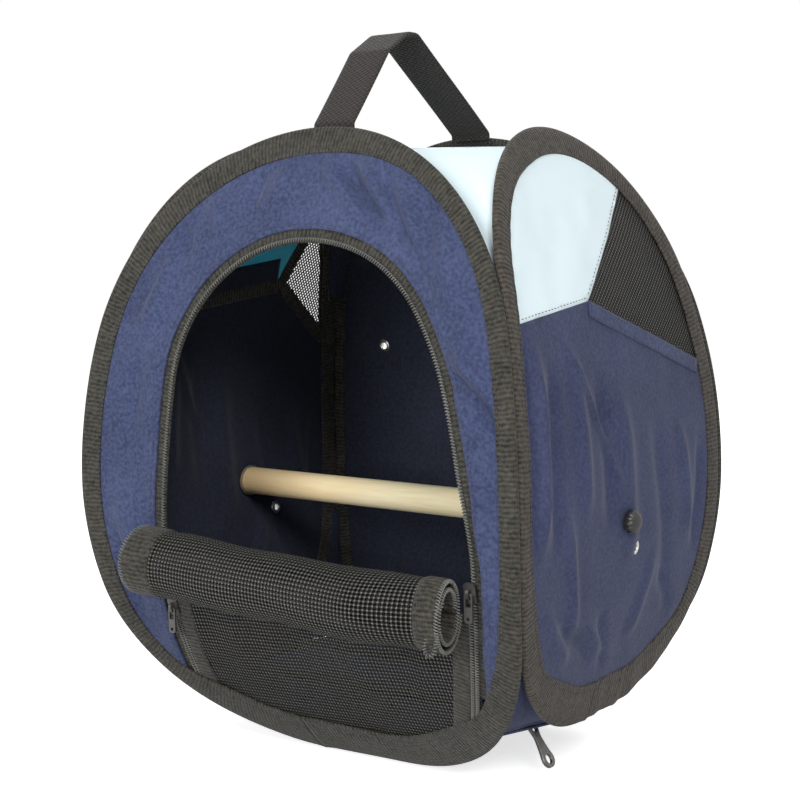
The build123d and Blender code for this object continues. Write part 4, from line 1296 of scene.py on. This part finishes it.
def rolled(x, s, out):
    """Point of the roll: along it, along the rolled cloth, and out from the cloth's middle."""
    x, s, out = np.broadcast_arrays(np.asarray(x, float), s, out)
    turn = np.clip(np.searchsorted(turn_starts, s, side="right") - 1, 0, roll_half_turns - 1)
    radii = np.array(turn_radii)[turn]
    side = np.where(turn % 2 == 0, 1.0, -1.0)
    ends = [turn_radii[0]]
    for number, radius in enumerate(turn_radii):
        ends.append(ends[-1] - (1 if number % 2 == 0 else -1) * 2 * radius)
    middles = np.array(ends)[turn] - side * radii
    angle = np.where(side > 0, 0.0, pi) - (s - turn_starts[turn]) / radii
    flat = 1 - roll_squash * smooth((x - squash_from) / squash_reach)
    y = roll_radius - (roll_radius - middles - np.cos(angle) * (radii + out)) * flat
    z = np.sin(angle) * (radii + out)
    along = x - roll_middle
    return np.stack([roll_middle + along * cos(roll_tilt) + z * sin(roll_tilt), roll_y + y,
                     roll_height - along * sin(roll_tilt) + z * cos(roll_tilt)], -1)


rolled_length = turn_starts[-1]


def roll_swell(x, s):
    """Unevenness of the rolled net."""
    return 0.35 * np.sin(x / 9 + s / 14) + 0.3 * np.sin(x / 17 - s / 9 + 1.3) + 0.2 * np.sin(s / 5 + x / 31)


net_low, net_high = roll_left + roll_bands[0] - 1.5, roll_right - roll_bands[1] + 1.5
columns, rows = int((net_high - net_low) / net_pitch), int(rolled_length / net_pitch)
lattice, faces = net_lattice(columns, rows, net_low + 0.5, 0.5)
faces, lattice = compact(faces, lattice)
calm = smooth((lattice[:, 0] - net_low) / 12) * smooth((net_high - lattice[:, 0]) / 12)
roll_mesh = make("rolled_mesh", rolled(lattice[:, 0], lattice[:, 1], roll_swell(*lattice.T) * calm), faces,
                 "black_net", uv=lattice - lattice[0] - net_strand / 2, body="rolled_door", closed=False,
                 stands_for=["door_roll"])
thicken(roll_mesh, net_thickness + 0.1)


def roll_band(name, low, high):
    """Tape round one end of the roll, its edges rounded."""
    half, steps = 0.9, 8
    x = np.concatenate([np.linspace(low, high, steps), np.linspace(high, low, steps)])
    edge = np.minimum(x - low, high - x)
    thin = half * (0.45 + 0.55 * np.sqrt(np.clip(edge / 1.5, 0, 1)))
    out = thin * np.repeat((1.0, -1.0), steps)
    s = np.linspace(0, rolled_length, int(rolled_length / 1.6))
    wave = 0.16 * np.sin(s / 2.1 + 1.5 * np.sin(s / 17)) + 0.15 * np.sin(s / 11)
    points = rolled(x[None, :], s[:, None], out[None, :] + wave[:, None])
    uv = np.stack(np.broadcast_arrays(x[None, :], s[:, None]), -1)
    make(name, points, capped(len(s), 2 * steps), "binding_tape", uv=uv, body="rolled_door",
         stands_for=["door_roll_tape"])


roll_band("roll_band_left", roll_left, roll_left + roll_bands[0])
roll_band("roll_band_right", roll_right - roll_bands[1], roll_right)
for label, x, inner in (("left", roll_left - 0.2, roll_left + 15),
                        ("right", roll_right + 0.4, roll_right - 9)):
    s = np.arange(2.0, rolled_length - 2, coil_pitch / coil_points_per_turn)
    turns = turned(len(s))
    points = rolled(x + coil_reach / 2 * np.cos(turns), s, 0.8 * np.sin(turns))
    make(f"roll_coil_{label}", *tube(points, coil_wire), "zip_coil", body="rolled_door")
    s = np.linspace(2, pi * turn_radii[0] + pi * turn_radii[1] - 2, 90)
    row, above = rolled(inner, s, 0.9), rolled(inner, s, 1.9)
    stitches(f"roll_seam_{label}", row, above - row, body="rolled_door")

# the zip's end hangs out of the roll and turns back on itself
hang = curve_through([(101.0, -13.0, 8.0), (103.5, -16.5, 0.0), (99.5, -18.5, -8.0),
                      (96.0, -19.5, -19.0), (97.5, -19.5, -23.5), (101.0, -19.0, -21.0),
                      (101.5, -18.0, -12.0), (99.0, -16.5, -5.0)])
hang += (0.0, roll_y + roll_radius, roll_height)
make("roll_zip_end", *tube(wound(hang, coil_reach / 2, coil_pitch), coil_wire), "zip_coil",
     body="rolled_door")
cord_points, cord_faces = tube(hang, 0.55, 8)
make("roll_zip_core", cord_points, cord_faces, "binding_tape", body="rolled_door", uv=cord_points[:, :2])

# ---- handle ----
strap_x, strap_width, strap_thickness = 4.0, 25.0, 1.8
root_y = front.at(height, 5.15) - strap_thickness / 2


def rounded_line(corners, radii, step=1.2):
    """Line through corners whose bends are arcs."""
    corners = [np.array(c, float) for c in corners]
    points = [corners[0]]
    for before, corner, after, radius in zip(corners, corners[1:], corners[2:], radii):
        back_way, on_way = before - corner, after - corner
        back_way, on_way = back_way / np.linalg.norm(back_way), on_way / np.linalg.norm(on_way)
        half = np.arccos(np.clip(back_way.dot(on_way), -1, 1)) / 2
        reach = radius / tan(half)
        first, last = corner + back_way * reach, corner + on_way * reach
        bisector = (back_way + on_way) / np.linalg.norm(back_way + on_way)
        centre = corner + bisector * radius / sin(half)
        for t in np.linspace(0, 1, 9):
            mixed = (first - centre) * (1 - t) + (last - centre) * t
            points.append(centre + mixed / np.linalg.norm(mixed) * radius)
    points.append(corners[-1])
    return resample(np.array(points), step)


strap_line = rounded_line([(-root_y, height - 2), (-root_y, height + 0.8), (-32, height + 38.5),
                           (-13, height + 49), (-5, height + 49), (root_y, height + 0.8),
                           (root_y, height - 2)], [2, 6, 6, 6, 2])
strap_up = left_of(strap_line)
half, thin = strap_width / 2, strap_thickness / 2
upper_side = [(half - 4, thin), (half - 0.9, 0.86), (half - 0.25, 0.6)]
mirrored = [(-across, rise) for across, rise in reversed(upper_side)]
strap_section = np.array([(-half, 0.0), *mirrored, (0, thin - 0.08), *upper_side, (half, 0.0),
                          *[(a, -r) for a, r in reversed(upper_side)], (0, 0.08 - thin),
                          *[(a, -r) for a, r in reversed(mirrored)]])
along = running_length(strap_line)
grid_y = strap_line[:, :1] + strap_up[:, :1] * strap_section[:, 1]
grid_z = strap_line[:, 1:] + strap_up[:, 1:] * strap_section[:, 1]
grid_x = strap_x + np.tile(strap_section[:, 0], (len(strap_line), 1)) + 0.25 * np.sin(along / 19)[:, None]
strap_uv = np.stack(np.broadcast_arrays(strap_section[None, :, 0], along[:, None]), -1)
make("handle_webbing", np.stack([grid_x, grid_y, grid_z], -1), capped(*grid_y.shape), "webbing",
     uv=strap_uv, body="handle", stands_for=["handle_strap"])
patch_low, patch_high, patch_seam = 319.2, 329.8, 1.8
for number, wall in enumerate((front, back)):
    patch = np.array([(strap_x - half, patch_low), (strap_x + half, patch_low),
                      (strap_x + half, patch_high), (strap_x - half, patch_high)])
    line = np.array([(strap_x, z) for z in np.linspace(patch_low, patch_high, 6)])
    swept(f"handle_patch_{number}", wall, line, np.tile((1.0, 0.0), (6, 1)),
          flat_section(-half, half, 4.85, 4.05, 5), "webbing", stands_for=["handle_ends"])
    box = patch + np.sign(patch.mean(0) - patch) * patch_seam
    for corner in range(4):
        a, b = box[corner], box[(corner + 1) % 4]
        row = a + (b - a) * np.linspace(0, 1, 8)[:, None]
        wall_stitches(f"handle_stitches_{number}_{corner}", wall, row, 4.9, True, spacing=2.6)


# ---- knobs and eyelets ----
def revolved(name, origin, axis, profile, slot, body, stands_for, ribs=0, rib_depth=0.0, count=96):
    """Turned piece from (radius, height) points; a closed profile makes a ring, ribs groove its outside."""
    axis = np.array(axis, float) / np.linalg.norm(axis)
    side = np.cross(axis, (0.0, 1.0, 0.1))
    side /= np.linalg.norm(side)
    other = np.cross(axis, side)
    angles = np.linspace(0, 2 * pi, count, endpoint=False)
    profile = np.array(profile, float)
    groove = rib_depth * (0.5 - 0.5 * np.cos(ribs * angles)) ** 2
    points = []
    for radius, rise in profile:
        r = radius - groove * (radius / profile[:, 0].max()) ** 2
        points.append(np.array(origin) + axis * rise + r[:, None] * (side * np.cos(angles)[:, None]
                                                                     + other * np.sin(angles)[:, None]))
    rows = len(profile)
    faces = capped(rows, count) if ribs else grid_faces(rows + 1, count, True) % (rows * count)
    make(name, np.concatenate(points), faces, slot, body=body, stands_for=stands_for)


perch_turn = atan2(perch_left_y - perch_right_y, 2 * right.at(perch_height))
perch_axis = np.array((cos(perch_turn), -sin(perch_turn), 0.0))
knob_radius, knob_gap = 6.0, 0.3
knob_profile = [(2.1, 0.0), (5.7, 0.0), (knob_radius, 0.3), (knob_radius, 2.2), (5.85, 2.8), (5.45, 3.5),
                (4.9, 4.1), (4.1, 4.7), (3.1, 5.15), (2.0, 5.4), (1.0, 5.48), (0.2, 5.5)]
seat = right.at(perch_height) / cos(perch_turn) + knob_radius * tan(perch_turn) + knob_gap
for label, sign in (("right", 1), ("left", -1)):
    origin = np.array((0.0, (perch_left_y + perch_right_y) / 2, perch_height)) + perch_axis * sign * seat
    revolved(f"knob_cap_{label}", origin, perch_axis * sign, knob_profile, "knob_plastic", f"{label}_knob",
             [f"perch_knob_{label}"], ribs=12, rib_depth=0.55, count=192)

pull_lean, pull_origin = radians(30.0), np.array((91.0, -27.7, 26.5))
half_widths = [(0.0, -2.1), (2.6, -1.3), (3.5, 0.6), (3.6, 2.6), (3.0, 5.0), (2.5, 6.8), (2.6, 9.0),
               (3.1, 12.0), (3.7, 15.0), (4.5, 17.4), (4.9, 19.4), (4.5, 21.4), (3.1, 23.0), (1.2, 23.9)]
side_curve = resample(np.array(half_widths), 1.0)
pull_loop = np.concatenate([side_curve, (side_curve * (-1, 1))[:0:-1]])
pull_holes = [circle((0, 1.7), (2.0, 2.9), 28), circle((0, 19.4), (2.4, 2.5), 28)]
plate("floor_pull_plate", [pull_loop, *pull_holes], 1.7, pull_origin, np.array((0.0, 1.0, 0.0)),
      np.array((sin(pull_lean), 0.0, -cos(pull_lean))), "zip_metal", body="floor_tab",
      stands_for=["floor_pull"])

half_ring = [(2.0, 1.15), (2.15, 1.5), (2.6, 1.72), (3.2, 1.68), (3.75, 1.4), (4.0, 1.1), (3.6, 1.03),
             (2.5, 1.02)]
eyelet_profile = [*half_ring, *[(r, -h) for r, h in reversed(half_ring)]]
for label, wall, place in (("right", right, right_eyelet), ("left", left, left_eyelet),
                           ("back", back, back_eyelet)):
    middle, above = (wall.points(place[0], place[1], depth) for depth in (2.0, 1.0))
    revolved(f"{label}_eyelet_ring", middle, above - middle, eyelet_profile, "nickel", "carrier",
             [f"{label}_eyelet"], count=64)

# ---- finish of the parts that stay as they are ----
slot_of = {part["node"]: part["material_slot"] for part in frame["record"]["subparts"]}
for node, piece in frame["nodes"].items():
    finish = materials[slot_of[node]]
    if not piece.material_slots:
        piece.data.materials.append(finish)
    for each in piece.material_slots:
        each.material = finish

# ---- camera, floor and light ----
roll, pitch, azimuth = radians(-1.2964), radians(6.077), radians(34.1041)
distance, focal_px, image = 2.612, 1583.8955, 800.0
offset_x, offset_y = 21.0141, 8.4762        # of the picture's middle, in pixels
aim_right, aim_up = 0.0233, 0.5484          # in wall heights, as the distance
away = np.array((sin(azimuth) * cos(pitch), -cos(azimuth) * cos(pitch), sin(pitch)))
level_right = np.array((cos(azimuth), sin(azimuth), 0.0))
level_up = np.cross(away, level_right)
camera_right = cos(roll) * level_right + sin(roll) * level_up
camera_up = -sin(roll) * level_right + cos(roll) * level_up
eye = (aim_right * level_right + np.array((0.0, 0.0, aim_up)) + distance * away) * height
eye = eye + (0, middle_shift, 0)
camera = added("camera", bpy.data.cameras.new("camera"))
axes = np.stack([camera_right, camera_up, away], 1).tolist()
camera.matrix_world = Matrix([[*row, place * MM] for row, place in zip(axes, eye)] + [[0, 0, 0, 1]])
camera.data.sensor_width = 36.0
camera.data.lens = focal_px / image * 36.0
camera.data.shift_x, camera.data.shift_y = -offset_x / image, offset_y / image
camera.data.clip_end = 20.0
bpy.context.scene.camera = camera


def lamp(name, place, size, power):
    """Soft round lamp that faces the carrier."""
    data = bpy.data.lights.new(name, "AREA")
    data.shape, data.size, data.energy = "DISK", size, power
    piece = added(name, data)
    piece.location = place
    aim = Vector((0.0, 0.0, 0.16))
    piece.rotation_euler = (aim - Vector(place)).to_track_quat("-Z", "Y").to_euler()


lamp("key", (1.3, -1.3, 1.25), 0.7, 22)
lamp("fill", (0.2, -1.85, 0.65), 0.9, 23)
lamp("rear", (-0.3, 1.6, 1.3), 1.2, 13)

# the world is bright to the camera and in reflections, and dimmer as a light
white = (1.0, 1.0, 1.0, 1.0)
world = Nodes("studio", bpy.data.worlds.new("studio"))
bpy.context.scene.world = world.owner
rays = world.tree.nodes.new("ShaderNodeLightPath").outputs
mirrored_rays = world.math("MAXIMUM", rays["Is Glossy Ray"], rays["Is Transmission Ray"])
seen = world.math("MAXIMUM", rays["Is Camera Ray"], mirrored_rays)
background = world.tree.nodes["Background"].inputs
world.put(white, background["Color"])
world.put(world.add("MapRange", Value=seen, To_Min=0.33, To_Max=1.0), background["Strength"])

ground = Nodes("ground")
ground.finish((0.9, 0.9, 0.9), 0.95, Specular_IOR_Level=0.1)
rays = ground.tree.nodes.new("ShaderNodeLightPath").outputs
glow = ground.add("Emission", Color=white, Strength=ground.math("MULTIPLY", rays["Is Camera Ray"], 0.7))
both = ground.tree.nodes.new("ShaderNodeAddShader")
ground.put(ground.shader.outputs[0], both.inputs[0])
ground.put(glow, both.inputs[1])
ground.put(both.outputs[0], ground.tree.nodes["Material Output"].inputs["Surface"])
plane = bpy.data.meshes.new("floor")
plane.from_pydata([(-6, -6, 0), (6, -6, 0), (6, 6, 0), (-6, 6, 0)], [], [(0, 1, 2, 3)])
plane.materials.append(ground.owner)
floor_piece = added("floor", plane)
floor_piece.location = (0, 0, -0.0005)

view = bpy.context.scene.view_settings
view.view_transform = "Standard"
